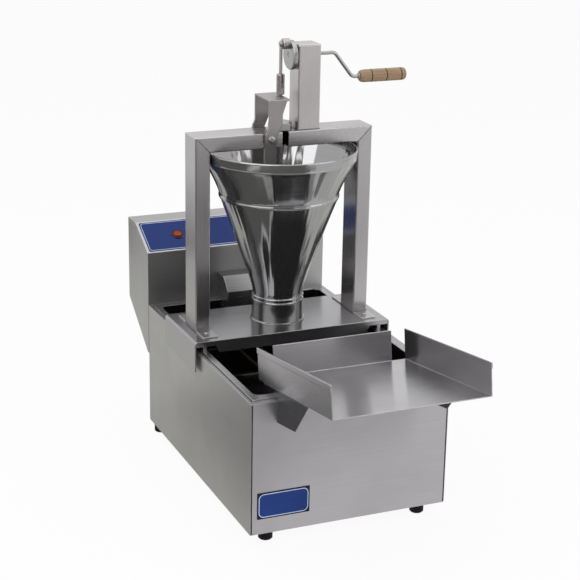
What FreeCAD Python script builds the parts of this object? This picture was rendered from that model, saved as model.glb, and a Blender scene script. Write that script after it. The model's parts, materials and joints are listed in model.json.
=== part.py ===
"""Countertop donut fryer with a hand-cranked dough filler standing over its oil bath.

Millimetres, +Z up, +Y towards the control head, +X towards the crank handle.
The model is laid out about the middle of the casing (x = 0, y = 0, z = 0 on the worktop)
and every piece is moved, when it is written, so that the origin is the middle of the
machine's whole footprint, on the worktop.
"""
import FreeCAD, Part
import math
import os

V = FreeCAD.Vector
X_AXIS = V(1, 0, 0)
Y_AXIS = V(0, 1, 0)
Z_AXIS = V(0, 0, 1)

# ---------------------------------------------------------------- driving dimensions
sheet = 1.2                 # casing, bath and tray sheet
seat_gap = 0.3              # air between pieces that only rest on each other
fit_gap = 0.05              # radial running fit of shafts and pins

casing_w = 330.0
casing_l = 488.0
casing_h = 213.0
corner_bend = 3.0           # outside bend radius of the casing's rear corners
seam_gap = 0.6              # open seam beside the front panel
rim_side = 5.5              # flat top fold of the casing, at the sides and the rear
rim_front = 12.0            # the same at the front
rebate_depth = 4.0          # step down from the fold to the ledge that carries the bath
ledge_w = 9.0
bottom_fold = 14.0
base_sheet = 1.5
slot_w = 8.0                # cooling slots of the base plate
slot_l = 90.0
slot_pitch = 24.0
slot_count = 6              # in each of the two rows
slot_front_y = -60.0
slot_rear_y = 80.0

foot_r = 11.25
foot_h = 21.0
foot_edge = 2.0             # rounding of the foot's lower edge
front_foot_x = 130.0
rear_foot_x = 148.0
foot_inset_y = 25.0
rear_foot_inset_y = 12.0
front_boss_r = 8.0          # raised middle of a front foot, up to the base plate

groove = 1.5                # open joint between casing fold and bath flange
bath_flange_side = 9.0
bath_flange_front = 15.0
bath_flange_rear = 9.0
bath_depth = 150.0
bath_corner = 14.0
bath_floor_bend = 8.0
flange_lift = 1.0           # bath flange stands this much above the casing's fold
flange_corner = 3.0

head_depth = 109.5
head_back_top = 343.5       # heights above the casing's bottom edge
head_slope_foot = 306.5
head_back_low = 197.0
head_bottom = 124.5
head_top_depth = 41.0
head_toe = 5.0
switch_x = -99.0
switch_r = 9.0
switch_depth = 12.0
bezel_wall = 1.2
bezel_lip = 1.8
bezel_h = 2.0
pivot_r = 1.2
pivot_l = 17.2
rocker_tip = 8.0            # degrees, lean of the rocker when switched off
rocker_dish_r = 20.0        # hollow across the rocker's top
rocker_dish_floor = 2.0     # lowest point of that hollow above the rocker's axis
knob_x = 85.0
knob_r = 17.0
knob_h = 16.0
knob_flutes = 8
knob_skirt_h = 2.0
knob_draft = 3.0            # the knob is narrower by this at its top
knob_bevel = 1.5
flute_r = 3.0
flute_out = 1.2             # flute centres stand out past the knob's skirt
flute_foot = 4.0
pointer_w = 1.6
pointer_start = 2.0         # pointer groove, from the knob's axis
pointer_margin = 5.0
pointer_depth = 0.6
spindle_r = 3.0
spindle_collar = 1.0        # thickness of the threaded collar round the spindle
thermostat_r = 13.0
thermostat_depth = 18.0
thermostat_floor = 2.0
thermostat_nut_af = 14.0
thermostat_nut_h = 2.0

back_window = 14.0          # frame left around the opening in the head's back
back_cover_edge = 6.0       # cover's edge from the head's edge
gland_x = 110.0
gland_z = 40.0              # above the head's lower rear edge
gland_r = 8.0
gland_l = 9.0
gland_bore_r = 3.2
gland_flange_t = 2.5
gland_step = 2.0            # the gland narrows by this behind its flange
gland_inside = 6.0
louvre_w = 4.0              # upright slots of the back cover
louvre_pitch = 14.0
louvre_count = 13
louvre_first_x = -110.0
louvre_foot = 40.0
louvre_head = 10.0

hood_w = 75.0
hood_top = 260.5            # above the casing's bottom edge
hood_reach = 30.0           # level part in front of the head
hood_front_reach = 54.0
hood_front_drop = 22.0
hood_dip = 18.0             # part of the hood that hangs inside the bath

element_r = 4.0
element_level = 26.0        # tube centre above the bath floor
element_outer_x = 95.0
riser_window_w = 52.0
riser_window_h = 18.0
riser_lift = 18.0           # element tails above the bath's flange
clamp_lap = 5.0
clamp_t = 3.0
element_front_y = -165.0
element_rear_y = 218.0
element_bend = 10.0
element_tail = 12.0         # ends of the element inside the head
element_sides = 12          # a many-sided section keeps the bends light
hood_riser_inset = 16.0

bridge_rise = 19.5          # top of the bridge above the casing's rim
bridge_l = 148.0
bridge_sheet = 2.0
skirt_gap = 4.5
skirt_h = 50.0
bridge_bend = 4.0
lip_h = 8.5
lip_middle_h = 20.5
lip_end_w = 26.0
lip_ramp = 6.0
lip_gap = 0.5               # between the lip and the side skirts
rail_w = 6.0

filler_y = 57.5             # middle of the bridge, gantry and hopper

tube_w = 25.0               # gantry tube, seen from the front
tube_d = 50.0
tube_wall = 1.5
tube_bend = 2.0
gantry_w = 305.5
gantry_top = 319.5          # top of the beam above the bridge
beam_slot = 11.0
foot_plate_l = 122.0
foot_plate_t = 2.0
foot_plate_corner = 2.0
foot_bolt_offset = 41.5
foot_bolt_end = 2.0         # bolt below the bridge's sheet

column_side = 38.0
column_wall = 1.5
column_x = 42.5
column_h = 136.5
cap_t = 2.0
cap_bevel = 0.8
shaft_drop = 18.0           # crank shaft below the column's top

shaft_r = 3.0
bush_flange_r = 7.0
bush_r = 5.0
bush_flange_t = 1.2
bush_l = 8.0
bush_press = 0.02           # radial gap of a pressed bush in its hole
edge_bevel = 1.0            # broken edges of turned pieces
crank_disc_r = 23.5
crank_disc_t = 7.0
crank_throw = 18.0
crank_hub_r = 6.0
disc_screw_r = 4.2
disc_screw_h = 1.5          # depth of the screw's seat in the disc
disc_screw_sink = 0.5
crank_bush_r = 8.5
crank_bush_bevel = 1.2
disc_to_column = 3.2
handle_straight = 32.0      # from the column to the first bend
handle_slope_dx = 32.0
handle_drop = 41.0
handle_bend_r = 11.0
handle_lead = 13.0
grip_r = 10.5
grip_l = 82.0
grip_recess = 6.0           # depth of the nut recess in the grip's outer end
grip_nut_r = 5.2
grip_shoulder = 3.0         # rounding-off of the grip's two ends
grip_ring_t = 2.0

link_t = 3.0
link_w = 6.6
link_eye_r = 5.0
pin_cap_t = 1.6
pin_cap_r = 4.0
clevis_r = 6.5
clevis_l = 33.0
clevis_slot_w = 3.6
clevis_slot_depth = 23.0
clevis_pin_r = 2.0
clevis_pin_sink = 0.6
neck_r = 2.2
neck_l = 1.8

yoke_t = 3.0
yoke_top = 54.0             # top of the yoke above the beam
yoke_left = -31.5
yoke_right = 3.6
yoke_waist_left = -31.5
yoke_waist_right = -8.0
yoke_tail_left = -37.0
yoke_tail_right = -16.5
yoke_tail_below = 18.0      # tail's end below the beam's top
yoke_bend = 2.0
yoke_corner = 3.0
yoke_shoulder_in = 4.5
yoke_shoulder_drop = 3.5    # these drops are taken from the yoke's top
yoke_waist_start = 24.0
yoke_waist_end = 38.0
yoke_left_start = 41.0
yoke_left_end = 56.0
yoke_right_end = 58.0
washer_r = 6.0
washer_t = 1.0
strap_t = 3.0
strap_inset = 0.5           # the straps are narrower than the yoke's tails by this, each side
strap_above_beam = 6.0
strap_bolt_drop = 9.5
strap_bottom = 395.0        # heights above the casing's bottom edge
spider_t = 3.0
spider_arm_w = 16.0
spider_arm_start = 2.0
hub_above_spider = 6.0

collar_wall = 1.5
collar_foot = 2.5           # the collar's flange stands out by this
collar_h = 34.0
neck_outer_r = 41.4
mouth_drop = 8.0            # hopper mouth below the bridge's underside
bead_r = 1.5
neck_bead_pitch = 6.5
joint_bead_h = 3.0
half_bead = 1.0
band_gap = 0.55             # between the hopper's band and the gantry's posts
hopper_wall = 1.0
hopper_neck_top = 51.0      # heights above the bridge's top
hopper_joint = 209.0
hopper_band_low = 274.5
hopper_band_top = 290.5
hopper_joint_r = 97.0
hopper_flare = 1.08         # 1 gives straight cones, more gives a bell
hopper_upper_flare = 1.2
lip_roll_r = 2.0

rod_r = 5.0
lock_nut_af = 36.0
lock_nut_h = 12.0
under_nut_af = 16.0
under_nut_h = 6.0
rod_stickout = 1.4
sleeve_wall = 3.0
spoke_h = 12.0
spoke_t = 4.0
spoke_clear = 2.0           # air between spokes and forming disc at the end of the stroke
sleeve_h = 36.0
sleeve_rest = 26.0          # sleeve's lower edge above the bridge's top
hub_r = 10.0
former_gap = 4.4            # round opening between forming disc and hopper mouth
former_h = 6.0
former_rim_h = 2.0
former_hub_w = 6.0
rod_below_nut = 1.5
former_nut_h = 5.0
former_nut_af = 16.0

tray_x = 2.5
tray_w = 250.0
tray_l = 272.0
tray_wall_h = 50.0
tray_tilt = 8.1             # degrees, front end up
tray_front_y = -436.0
tray_front_z = 257.3        # floor's front edge above the casing's bottom edge
tray_rear_w = 200.0
tray_hem_h = 9.0
bracket_front_top = 82.0    # along the tray floor, from its front edge
bracket_rear_top = 252.0
bracket_flange = 15.0
bracket_toe_drop = 56.0
bracket_toe_back = 46.0
bracket_foot_drop = 11.5    # from the toe to where the bracket meets the front panel
bracket_hook_drop = 26.0
bracket_hook_w = 14.0
bracket_hook_gap = 1.3      # from the hook to the bath's front wall

foot_bolt_r = 2.3
yoke_bolt_r = 3.0
screw_head_share = 1.9      # head radius of a pan screw, over its shank's radius
screw_dome_share = 0.6      # flat of the head, over the head's radius
screw_height_share = 0.9    # head height, over the shank's radius
nut_bevel_share = 0.85      # height where a nut's bevel starts, over its height

over = 1.0                  # cutting solids stand this much past what they cut

# ---------------------------------------------------------------- derived places
casing_bottom = foot_h
casing_top = casing_bottom + casing_h
half_w = casing_w / 2
half_l = casing_l / 2
bridge_top = casing_top + bridge_rise
bridge_half_w = half_w + skirt_gap + bridge_sheet
beam_top = bridge_top + gantry_top
beam_low = beam_top - tube_w
beam_front = filler_y - tube_d / 2
beam_rear = filler_y + tube_d / 2
column_left = column_x - column_side / 2
column_right = column_x + column_side / 2
column_top = beam_top + column_h
collar_r = neck_outer_r + fit_gap + collar_wall
hopper_band_r = gantry_w / 2 - tube_w - band_gap
former_r = neck_outer_r - hopper_wall - former_gap
shaft_z = column_top - shaft_drop
crank_pin_z = shaft_z + crank_throw
stroke = 2 * crank_throw
handle_z = shaft_z - handle_drop
grip_start_x = column_right + handle_straight + handle_slope_dx + handle_lead
grip_end_x = grip_start_x + grip_l
tilt = math.radians(tray_tilt)
origin_x = (grip_end_x - bridge_half_w) / 2
head_back_y = half_l + head_depth
origin_y = (head_back_y - sheet + gland_l + tray_front_y) / 2


# ---------------------------------------------------------------- helpers
def box(x0, x1, y0, y1, z0, z1):
    return Part.makeBox(x1 - x0, y1 - y0, z1 - z0, V(x0, y0, z0))


def rod_between(start, end, radius):
    along = end - start
    return Part.makeCylinder(radius, along.Length, start, along)


def tube_between(start, end, outer, inner):
    return rod_between(start, end, outer).cut(rod_between(start, end, inner))


def plate_yz(points, x0, x1):
    """Prism with a (y, z) outline, from x0 to x1."""
    corners = [V(x0, y, z) for y, z in points]
    return Part.Face(Part.makePolygon(corners + corners[:1])).extrude(V(x1 - x0, 0, 0))


def plate_xz(points, y0, y1):
    """Prism with an (x, z) outline, from y0 to y1."""
    corners = [V(x, y0, z) for x, z in points]
    return Part.Face(Part.makePolygon(corners + corners[:1])).extrude(V(0, y1 - y0, 0))


def turned(points, x, y):
    """Solid of revolution about the vertical line at (x, y); points are (radius, z)."""
    corners = [V(x + r, y, z) for r, z in points]
    face = Part.Face(Part.makePolygon(corners + corners[:1]))
    return face.revolve(V(x, y, 0), Z_AXIS, 360)


def turned_along_x(points, y, z):
    """Solid of revolution about the line at (y, z) along X; points are (x, radius)."""
    corners = [V(x, y, z + r) for x, r in points]
    face = Part.Face(Part.makePolygon(corners + corners[:1]))
    return face.revolve(V(0, y, z), X_AXIS, 360)


def fuse(shapes):
    return shapes[0].multiFuse(shapes[1:]).removeSplitter()


def round_edges(solid, radius, chosen):
    edges = [edge for edge in solid.Edges if chosen(edge)]
    return solid.makeFillet(radius, edges)


def is_vertical(edge):
    start, end = edge.Vertexes[0].Point, edge.Vertexes[-1].Point
    return abs(start.x - end.x) < 1e-6 and abs(start.y - end.y) < 1e-6


def hexagon(across_flats, height, x, y, z, bevelled=True):
    corner = across_flats / math.sqrt(3)
    points = [V(x + corner * math.cos(math.radians(a)), y + corner * math.sin(math.radians(a)), z)
              for a in range(0, 361, 60)]
    prism = Part.Face(Part.makePolygon(points)).extrude(V(0, 0, height))
    if not bevelled:
        return prism
    shoulder = z + height * nut_bevel_share
    reach = corner + over
    bevel = turned([(0, z), (reach, z), (reach, shoulder), (corner, shoulder),
                    (across_flats / 2, z + height), (0, z + height)], x, y)
    return prism.common(bevel)


def tilted(shape, pivot, degrees):
    turned_shape = shape.copy()
    turned_shape.rotate(pivot, X_AXIS, degrees)
    return turned_shape


def mirrored_x(shape, x=0.0):
    return shape.mirror(V(x, 0, 0), X_AXIS)


def pan_screw(seat, direction, radius, length):
    """Screw whose domed head stands on `seat` and whose shank goes along `direction`."""
    shank = rod_between(seat, seat + direction * length, radius)
    head_r = radius * screw_head_share
    head_h = radius * screw_height_share
    skirt = rod_between(seat - direction * head_h / 2, seat, head_r)
    dome = Part.makeCone(head_r, head_r * screw_dome_share, head_h / 2,
                         seat - direction * head_h / 2, -direction)
    return fuse([shank, skirt, dome])


nodes = {}


def keep(name, shapes):
    solids = shapes if isinstance(shapes, list) else [shapes]
    nodes[name] = Part.makeCompound(solids) if len(solids) > 1 else solids[0]


# ---------------------------------------------------------------- casing
def fold_profile(edge, outward, rim):
    """(across, z) outline of a wall's top: flat fold, step down and ledge for the bath."""
    top, step = casing_top, casing_top - rebate_depth
    inner = edge - outward * rim
    ledge = inner - outward * ledge_w
    return [(edge, casing_bottom), (edge, top), (inner, top), (inner, step), (ledge, step),
            (ledge, step - sheet), (inner + outward * sheet, step - sheet),
            (inner + outward * sheet, top - sheet), (edge - outward * sheet, top - sheet),
            (edge - outward * sheet, casing_bottom + sheet),
            (edge - outward * bottom_fold, casing_bottom + sheet),
            (edge - outward * bottom_fold, casing_bottom)]


def make_casing():
    left = plate_xz(fold_profile(-half_w, -1, rim_side), -half_l, half_l)
    right = mirrored_x(left)
    rear = plate_yz(fold_profile(half_l, 1, rim_side), -half_w, half_w)
    wrap = fuse([left, right, rear])
    wrap = round_edges(wrap, corner_bend, lambda e: is_vertical(e) and e.BoundBox.YMin > half_l - 0.1
                       and abs(abs(e.BoundBox.XMin) - half_w) < 0.1)
    ledge_z = casing_top - rebate_depth - sheet
    fold_under = casing_top - sheet
    front_of_ledge = -half_l + rim_front + ledge_w + seam_gap
    ledge_end = half_w - rim_side + sheet
    wrap = wrap.cut(box(-ledge_end, ledge_end, -half_l, front_of_ledge, ledge_z, fold_under))
    side_inner = half_w - sheet - seam_gap
    wrap = wrap.cut(box(-side_inner, side_inner, -half_l, -half_l + bottom_fold + seam_gap,
                        casing_bottom, casing_bottom + sheet))
    keep("casing_wrap", wrap)
    front = plate_yz(fold_profile(-half_l, -1, rim_front), -half_w, half_w)
    fold_end = half_w - rim_side - seam_gap
    below_folds = fold_under - seam_gap
    outline = fuse([box(-side_inner, side_inner, -half_l, 0, casing_bottom, below_folds),
                    box(-fold_end, fold_end, -half_l, 0, below_folds, casing_top)])
    keep("front_panel", front.common(outline))


def foot_places():
    front_y, rear_y = -half_l + foot_inset_y, half_l - rear_foot_inset_y
    return [(sign * front_foot_x, front_y) for sign in (-1, 1)] + \
           [(sign * rear_foot_x, rear_y) for sign in (-1, 1)]


def make_underside():
    inset = sheet + seam_gap
    floor_z = casing_bottom + sheet
    plate = box(-half_w + inset, half_w - inset, -half_l + inset, half_l - inset,
                floor_z, floor_z + base_sheet)
    first_x = -slot_pitch * (slot_count - 1) / 2
    slots = []
    for y in (slot_front_y, slot_rear_y):
        for step in range(slot_count):
            x = first_x + slot_pitch * step
            slots.append(box(x - slot_w / 2, x + slot_w / 2, y - slot_l / 2, y + slot_l / 2,
                             floor_z - over, floor_z + base_sheet + over))
    keep("base_plate", plate.cut(Part.makeCompound(slots)))
    feet = []
    for x, y in foot_places():
        top = [(front_boss_r, foot_h), (front_boss_r, floor_z), (0, floor_z)] if y < 0 else \
              [(0, foot_h)]
        feet.append(turned([(0, 0), (foot_r - foot_edge, 0), (foot_r, foot_edge),
                            (foot_r, foot_h)] + top, x, y))
    keep("feet", feet)


# ---------------------------------------------------------------- oil bath
bath_outer_x = half_w - rim_side - groove
bath_front_y = -half_l + rim_front + groove
bath_rear_y = half_l - rim_side - groove
bath_flange_top = casing_top + flange_lift
bath_x = bath_outer_x - bath_flange_side
bath_y0 = bath_front_y + bath_flange_front
bath_y1 = bath_rear_y - bath_flange_rear
bath_floor = bath_flange_top - bath_depth
riser_z = bath_flange_top + riser_lift


def rounded_well(inset, low, high):
    block = box(-bath_x + inset, bath_x - inset, bath_y0 + inset, bath_y1 - inset, low, high)
    block = round_edges(block, bath_corner - inset, is_vertical)
    floor_edges = [e for e in block.Edges if e.BoundBox.ZMax < low + 0.01]
    return block.makeFillet(bath_floor_bend - inset, floor_edges)


def make_bath():
    ledge_z = casing_top - rebate_depth
    plate = box(-bath_outer_x, bath_outer_x, bath_front_y, bath_rear_y, ledge_z, bath_flange_top)
    plate = round_edges(plate, flange_corner, is_vertical)
    under = box(-bath_outer_x + sheet, bath_outer_x - sheet, bath_front_y + sheet,
                bath_rear_y - sheet, ledge_z - over, bath_flange_top - sheet)
    rim = plate.cut(under)
    outer = rounded_well(0.0, bath_floor, bath_flange_top)
    inner = rounded_well(sheet, bath_floor + sheet, bath_flange_top + over)
    keep("oil_bath", rim.fuse(outer).cut(inner).removeSplitter())


# ---------------------------------------------------------------- control head
def head_outline(inset=0.0):
    y0 = half_l + inset
    y1 = half_l + head_depth - inset
    base = casing_bottom
    slope = (head_back_top - head_slope_foot) / (head_depth - head_top_depth)
    lift = inset * (math.hypot(1, slope) - slope)
    toe_slope = (head_back_low - head_bottom) / (head_depth - head_toe)
    toe = inset * (math.hypot(1, toe_slope) - 1) / toe_slope
    return [(y0, base + head_bottom + inset),
            (half_l + head_toe - toe, base + head_bottom + inset),
            (y1, base + head_back_low + inset * (math.hypot(1, toe_slope) - toe_slope)),
            (y1, base + head_back_top - inset),
            (half_l + head_depth - head_top_depth + inset * (math.hypot(1, slope) - 1) / slope,
             base + head_back_top - inset),
            (y0, base + head_slope_foot - lift)]


slope_foot = V(0, half_l, casing_bottom + head_slope_foot)
slope_head = V(0, half_l + head_depth - head_top_depth, casing_bottom + head_back_top)
slope_dir = (slope_head - slope_foot).normalize()
slope_normal = X_AXIS.cross(slope_dir)
slope_length = (slope_head - slope_foot).Length


def on_slope(x, fraction, lift=0.0):
    return V(x, 0, 0) + slope_foot + slope_dir * (slope_length * fraction) + slope_normal * lift


def make_head():
    shell = plate_yz(head_outline(), -half_w, half_w)
    hollow = plate_yz(head_outline(sheet), -half_w + sheet, half_w - sheet)
    back_y = half_l + head_depth
    low, high = casing_bottom + head_back_low + back_window, casing_bottom + head_back_top - back_window
    window = box(-half_w + back_window, half_w - back_window, back_y - 2 * sheet, back_y + over,
                 low, high)
    shell = shell.cut(hollow).cut(window)
    riser = box(-riser_window_w / 2, riser_window_w / 2, half_l - over, half_l + 2 * sheet,
                riser_z - riser_window_h / 2, riser_z + riser_window_h / 2)
    shell = shell.cut(riser)
    for x, radius in ((knob_x, spindle_r + spindle_collar), (switch_x, switch_r + seat_gap)):
        shell = shell.cut(rod_between(on_slope(x, 0.5, -sheet - over), on_slope(x, 0.5, over), radius))
    lap = back_window - back_cover_edge
    cover = box(-half_w + back_cover_edge, half_w - back_cover_edge, back_y - sheet - base_sheet,
                back_y - sheet, low - lap, high + lap)
    vents = []
    for step in range(louvre_count):
        x = louvre_first_x + louvre_pitch * step
        vents.append(box(x, x + louvre_w, back_y - sheet - base_sheet - over, back_y,
                         low + louvre_foot, high - louvre_head))
    gland_at = V(gland_x, back_y - sheet, casing_bottom + head_back_low + gland_z)
    gland_hole = rod_between(gland_at - Y_AXIS * (base_sheet + over), gland_at + Y_AXIS * over,
                             gland_r - gland_step)
    keep("head_casing", shell)
    keep("head_back_cover", cover.cut(Part.makeCompound(vents)).cut(gland_hole))
    barrel_r = gland_r - gland_step - fit_gap
    gland = turned([(gland_bore_r, -gland_inside), (barrel_r, -gland_inside), (barrel_r, 0),
                    (gland_r, 0), (gland_r, gland_flange_t), (barrel_r, gland_flange_t + gland_step),
                    (barrel_r, gland_l), (gland_bore_r, gland_l)], 0, 0)
    gland.rotate(V(0, 0, 0), X_AXIS, -90)
    gland.translate(gland_at)
    keep("cord_gland", gland)


def stand_on_slope(shape, x, lift=0.0):
    """Puts a shape modelled about +Z on the sloping panel, its +Z along the panel's normal."""
    placed = shape.copy()
    placed.rotate(V(0, 0, 0), X_AXIS, math.degrees(math.asin(slope_dir.z)))
    placed.translate(on_slope(x, 0.5, lift))
    return placed


def make_switch():
    inner_r = switch_r - bezel_wall
    bezel = turned([(inner_r, -switch_depth), (switch_r, -switch_depth), (switch_r, 0),
                    (switch_r + bezel_lip, 0), (switch_r + bezel_lip, bezel_h / 2),
                    (switch_r + bezel_lip / 2, bezel_h), (inner_r, bezel_h)], 0, 0)
    bezel = bezel.cut(rod_between(V(-pivot_l / 2 - fit_gap, 0, 0), V(pivot_l / 2 + fit_gap, 0, 0),
                                  pivot_r + fit_gap))
    keep("switch_bezel", stand_on_slope(bezel, switch_x))
    ball_r = switch_r - bezel_wall - seat_gap
    rings = [(ball_r * math.cos(math.radians(a)), ball_r * math.sin(math.radians(a)))
             for a in (-42, -21, 0, 21, 36)]
    ball = turned([(0, rings[0][1])] + rings + [(0, rings[-1][1])], 0, 0)
    dish_z = rocker_dish_floor + rocker_dish_r
    dish = rod_between(V(-switch_r, 0, dish_z), V(switch_r, 0, dish_z), rocker_dish_r)
    pivot = rod_between(V(-pivot_l / 2, 0, 0), V(pivot_l / 2, 0, 0), pivot_r)
    rocker = tilted(ball.cut(dish).fuse(pivot), V(0, 0, 0), -rocker_tip)
    keep("rocker_switch", stand_on_slope(rocker, switch_x))


def make_thermostat():
    body = rod_between(V(0, 0, -thermostat_depth), V(0, 0, -sheet), thermostat_r)
    collar = rod_between(V(0, 0, -sheet), V(0, 0, 0), spindle_r + spindle_collar - fit_gap)
    bore_floor = thermostat_floor - thermostat_depth
    bore = rod_between(V(0, 0, bore_floor), V(0, 0, knob_h), spindle_r + fit_gap)
    keep("thermostat_body", stand_on_slope(body.fuse(collar).cut(bore), knob_x))
    nut = hexagon(thermostat_nut_af, thermostat_nut_h, 0, 0, 0, bevelled=False)
    keep("thermostat_nut", stand_on_slope(nut.cut(bore), knob_x))
    low = thermostat_nut_h + seat_gap
    top_r = knob_r - knob_draft
    knob = turned([(0, low), (knob_r, low), (knob_r, low + knob_skirt_h), (top_r, knob_h - knob_bevel),
                   (top_r - knob_bevel, knob_h), (0, knob_h)], 0, 0)
    flutes = []
    for step in range(knob_flutes):
        angle = 2 * math.pi * (step + 0.5) / knob_flutes
        ring_r = knob_r + flute_out
        centre = V(ring_r * math.cos(angle), ring_r * math.sin(angle), low + flute_foot)
        flutes.append(rod_between(centre, centre + Z_AXIS * knob_h, flute_r))
    pointer = box(-pointer_w / 2, pointer_w / 2, pointer_start, knob_r - pointer_margin,
                  knob_h - pointer_depth, knob_h + over)
    spindle = rod_between(V(0, 0, bore_floor + fit_gap), V(0, 0, low), spindle_r)
    knob = knob.cut(Part.makeCompound(flutes)).cut(pointer).fuse(spindle)
    keep("thermostat_knob", stand_on_slope(knob.removeSplitter(), knob_x))


# ---------------------------------------------------------------- element and its hood
def make_hood():
    top = casing_bottom + hood_top
    y0, y1, y2 = half_l, half_l - hood_reach, half_l - hood_front_reach
    low = top - hood_front_drop
    foot = bath_flange_top + seat_gap
    step = bath_y1 - sheet - 2 * seat_gap
    fall = math.atan2(hood_front_drop, hood_front_reach - hood_reach)
    upper = math.tan(fall / 2)
    lower = math.tan(math.pi / 4 - fall / 2)

    def outline(inset):
        return [(y0 + inset, top - inset), (y1 + inset * upper, top - inset),
                (y2 + inset, low - inset * lower), (y2 + inset, foot - hood_dip - inset),
                (step - inset, foot - hood_dip - inset), (step - inset, foot - inset),
                (y0 + inset, foot - inset)]

    outer = plate_yz(outline(0.0), -hood_w / 2, hood_w / 2)
    inner = plate_yz(outline(sheet), -hood_w / 2 + sheet, hood_w / 2 - sheet)
    keep("element_hood", outer.cut(inner))


def arc_route(points, bend):
    """Wire of straight runs joined by tangent arcs of one radius."""
    edges = []
    start = points[0]
    for before, corner, after in zip(points, points[1:], points[2:]):
        inward = (before - corner).normalize()
        outward = (after - corner).normalize()
        half_turn = (math.pi - inward.getAngle(outward)) / 2
        back = bend * math.tan(half_turn)
        first, last = corner + inward * back, corner + outward * back
        middle_dir = (inward + outward).normalize()
        centre_distance = bend / math.cos(half_turn)
        middle = corner + middle_dir * (centre_distance - bend)
        edges.append(Part.LineSegment(start, first).toShape())
        edges.append(Part.Arc(first, middle, last).toShape())
        start = last
    edges.append(Part.LineSegment(start, points[-1]).toShape())
    return Part.Wire(edges)


def ring_section(centre, along, radius, sides):
    """Closed outline across a rod: a circle, or an even polygon when `sides` is given."""
    if not sides:
        return Part.Wire([Part.makeCircle(radius, centre, along)])
    across = Z_AXIS.cross(along).normalize()
    upward = along.cross(across)
    corners = []
    for step in range(sides):
        angle = 2 * math.pi * (step + 0.5) / sides
        corners.append(centre + across * (radius * math.cos(angle)) + upward * (radius * math.sin(angle)))
    return Part.makePolygon(corners + corners[:1])


def swept_rod(points, radius, bend, sides=0):
    wire = arc_route(points, bend)
    along = (points[1] - points[0]).normalize()
    return wire.makePipeShell([ring_section(points[0], along, radius, sides)], True, True)


def element_route():
    level = bath_floor + sheet + element_level
    riser_x = hood_w / 4
    riser_y = half_l - hood_front_reach + hood_riser_inset
    tail_y = half_l + element_tail
    left = [V(-riser_x, tail_y, riser_z), V(-riser_x, riser_y, riser_z), V(-riser_x, riser_y, level),
            V(-riser_x, element_front_y, level), V(-element_outer_x, element_front_y, level),
            V(-element_outer_x, element_rear_y, level)]
    right = [V(-p.x, p.y, p.z) for p in reversed(left)]
    return left + right


def make_element():
    keep("heating_element", swept_rod(element_route(), element_r, element_bend, element_sides))
    half_clamp = riser_window_w / 2 + clamp_lap
    rise = riser_window_h / 2 + clamp_lap
    clamp = box(-half_clamp, half_clamp, half_l + sheet, half_l + sheet + clamp_t,
                riser_z - rise, riser_z + rise)
    for x in (-hood_w / 4, hood_w / 4):
        clamp = clamp.cut(rod_between(V(x, half_l, riser_z), V(x, half_l + sheet + clamp_t + over, riser_z),
                                      element_r + fit_gap))
    keep("element_clamp", clamp)


# ---------------------------------------------------------------- bridge
bridge_y0 = filler_y - bridge_l / 2
bridge_y1 = filler_y + bridge_l / 2
bridge_under = bridge_top - bridge_sheet
mouth_hole_r = neck_outer_r + seat_gap


def make_bridge():
    low = bridge_top - skirt_h
    outer = box(-bridge_half_w, bridge_half_w, bridge_y0, bridge_y1, low, bridge_top)
    outer = round_edges(outer, bridge_bend, lambda e: e.BoundBox.ZMin > bridge_top - 0.1
                        and e.BoundBox.XLength < 0.1)
    inner = box(-bridge_half_w + bridge_sheet, bridge_half_w - bridge_sheet, bridge_y0 - over,
                bridge_y1 + over, low - over, bridge_under)
    inner = round_edges(inner, bridge_bend - bridge_sheet,
                        lambda e: e.BoundBox.ZMin > bridge_under - 0.1 and e.BoundBox.XLength < 0.1)
    saddle = outer.cut(inner)
    lip_x = bridge_half_w - bridge_sheet - lip_gap
    deep_x = bath_x - lip_end_w / 2
    lip = [(-lip_x, bridge_under), (-lip_x, bridge_top - lip_h), (-deep_x, bridge_top - lip_h),
           (-deep_x + lip_ramp, bridge_top - lip_middle_h), (deep_x - lip_ramp, bridge_top - lip_middle_h),
           (deep_x, bridge_top - lip_h), (lip_x, bridge_top - lip_h), (lip_x, bridge_under)]
    for y in (bridge_y0, bridge_y1 - bridge_sheet):
        saddle = saddle.fuse(plate_xz(lip, y, y + bridge_sheet))
    hole = rod_between(V(0, filler_y, low), V(0, filler_y, bridge_top + over), mouth_hole_r)
    saddle = saddle.cut(hole)
    for x, y in foot_bolt_places():
        saddle = saddle.cut(rod_between(V(x, y, bridge_under - over), V(x, y, bridge_top + over),
                                        foot_bolt_r + fit_gap))
    keep("bridge_saddle", saddle.removeSplitter())
    rails = []
    rail_x = bath_outer_x - bath_flange_side / 2
    for sign in (-1, 1):
        rails.append(box(sign * rail_x - rail_w / 2, sign * rail_x + rail_w / 2,
                         bridge_y0 + bridge_sheet, bridge_y1 - bridge_sheet,
                         bath_flange_top, bridge_under))
    keep("bridge_rails", rails)


def foot_bolt_places():
    x = gantry_w / 2 - tube_w / 2
    return [(sx * x, filler_y + sy * foot_bolt_offset) for sx in (-1, 1) for sy in (-1, 1)]


# ---------------------------------------------------------------- gantry
post_foot = bridge_top + foot_plate_t


def rect_tube(x0, x1, y0, y1, z0, z1, wall, along):
    solid = box(x0, x1, y0, y1, z0, z1)
    grow = {"x": (-over, wall, wall), "z": (wall, wall, -over)}[along]
    core = box(x0 + grow[0], x1 - grow[0], y0 + grow[1], y1 - grow[1], z0 + grow[2], z1 - grow[2])
    flat = (lambda e: e.BoundBox.XLength > 5 and e.BoundBox.YLength < 0.1
            and e.BoundBox.ZLength < 0.1) if along == "x" else is_vertical
    return round_edges(solid, tube_bend, flat).cut(round_edges(core, tube_bend - wall, flat))


def mitre_block(sign):
    """Prism on the beam's side of the 45 degree mitre at one end."""
    outer = sign * gantry_w / 2
    points = [(outer, beam_top), (outer - sign * tube_w, beam_low), (0, beam_low - over),
              (0, beam_top + over), (outer, beam_top + over)]
    return plate_xz(points, beam_front - over, beam_rear + over)


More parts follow.
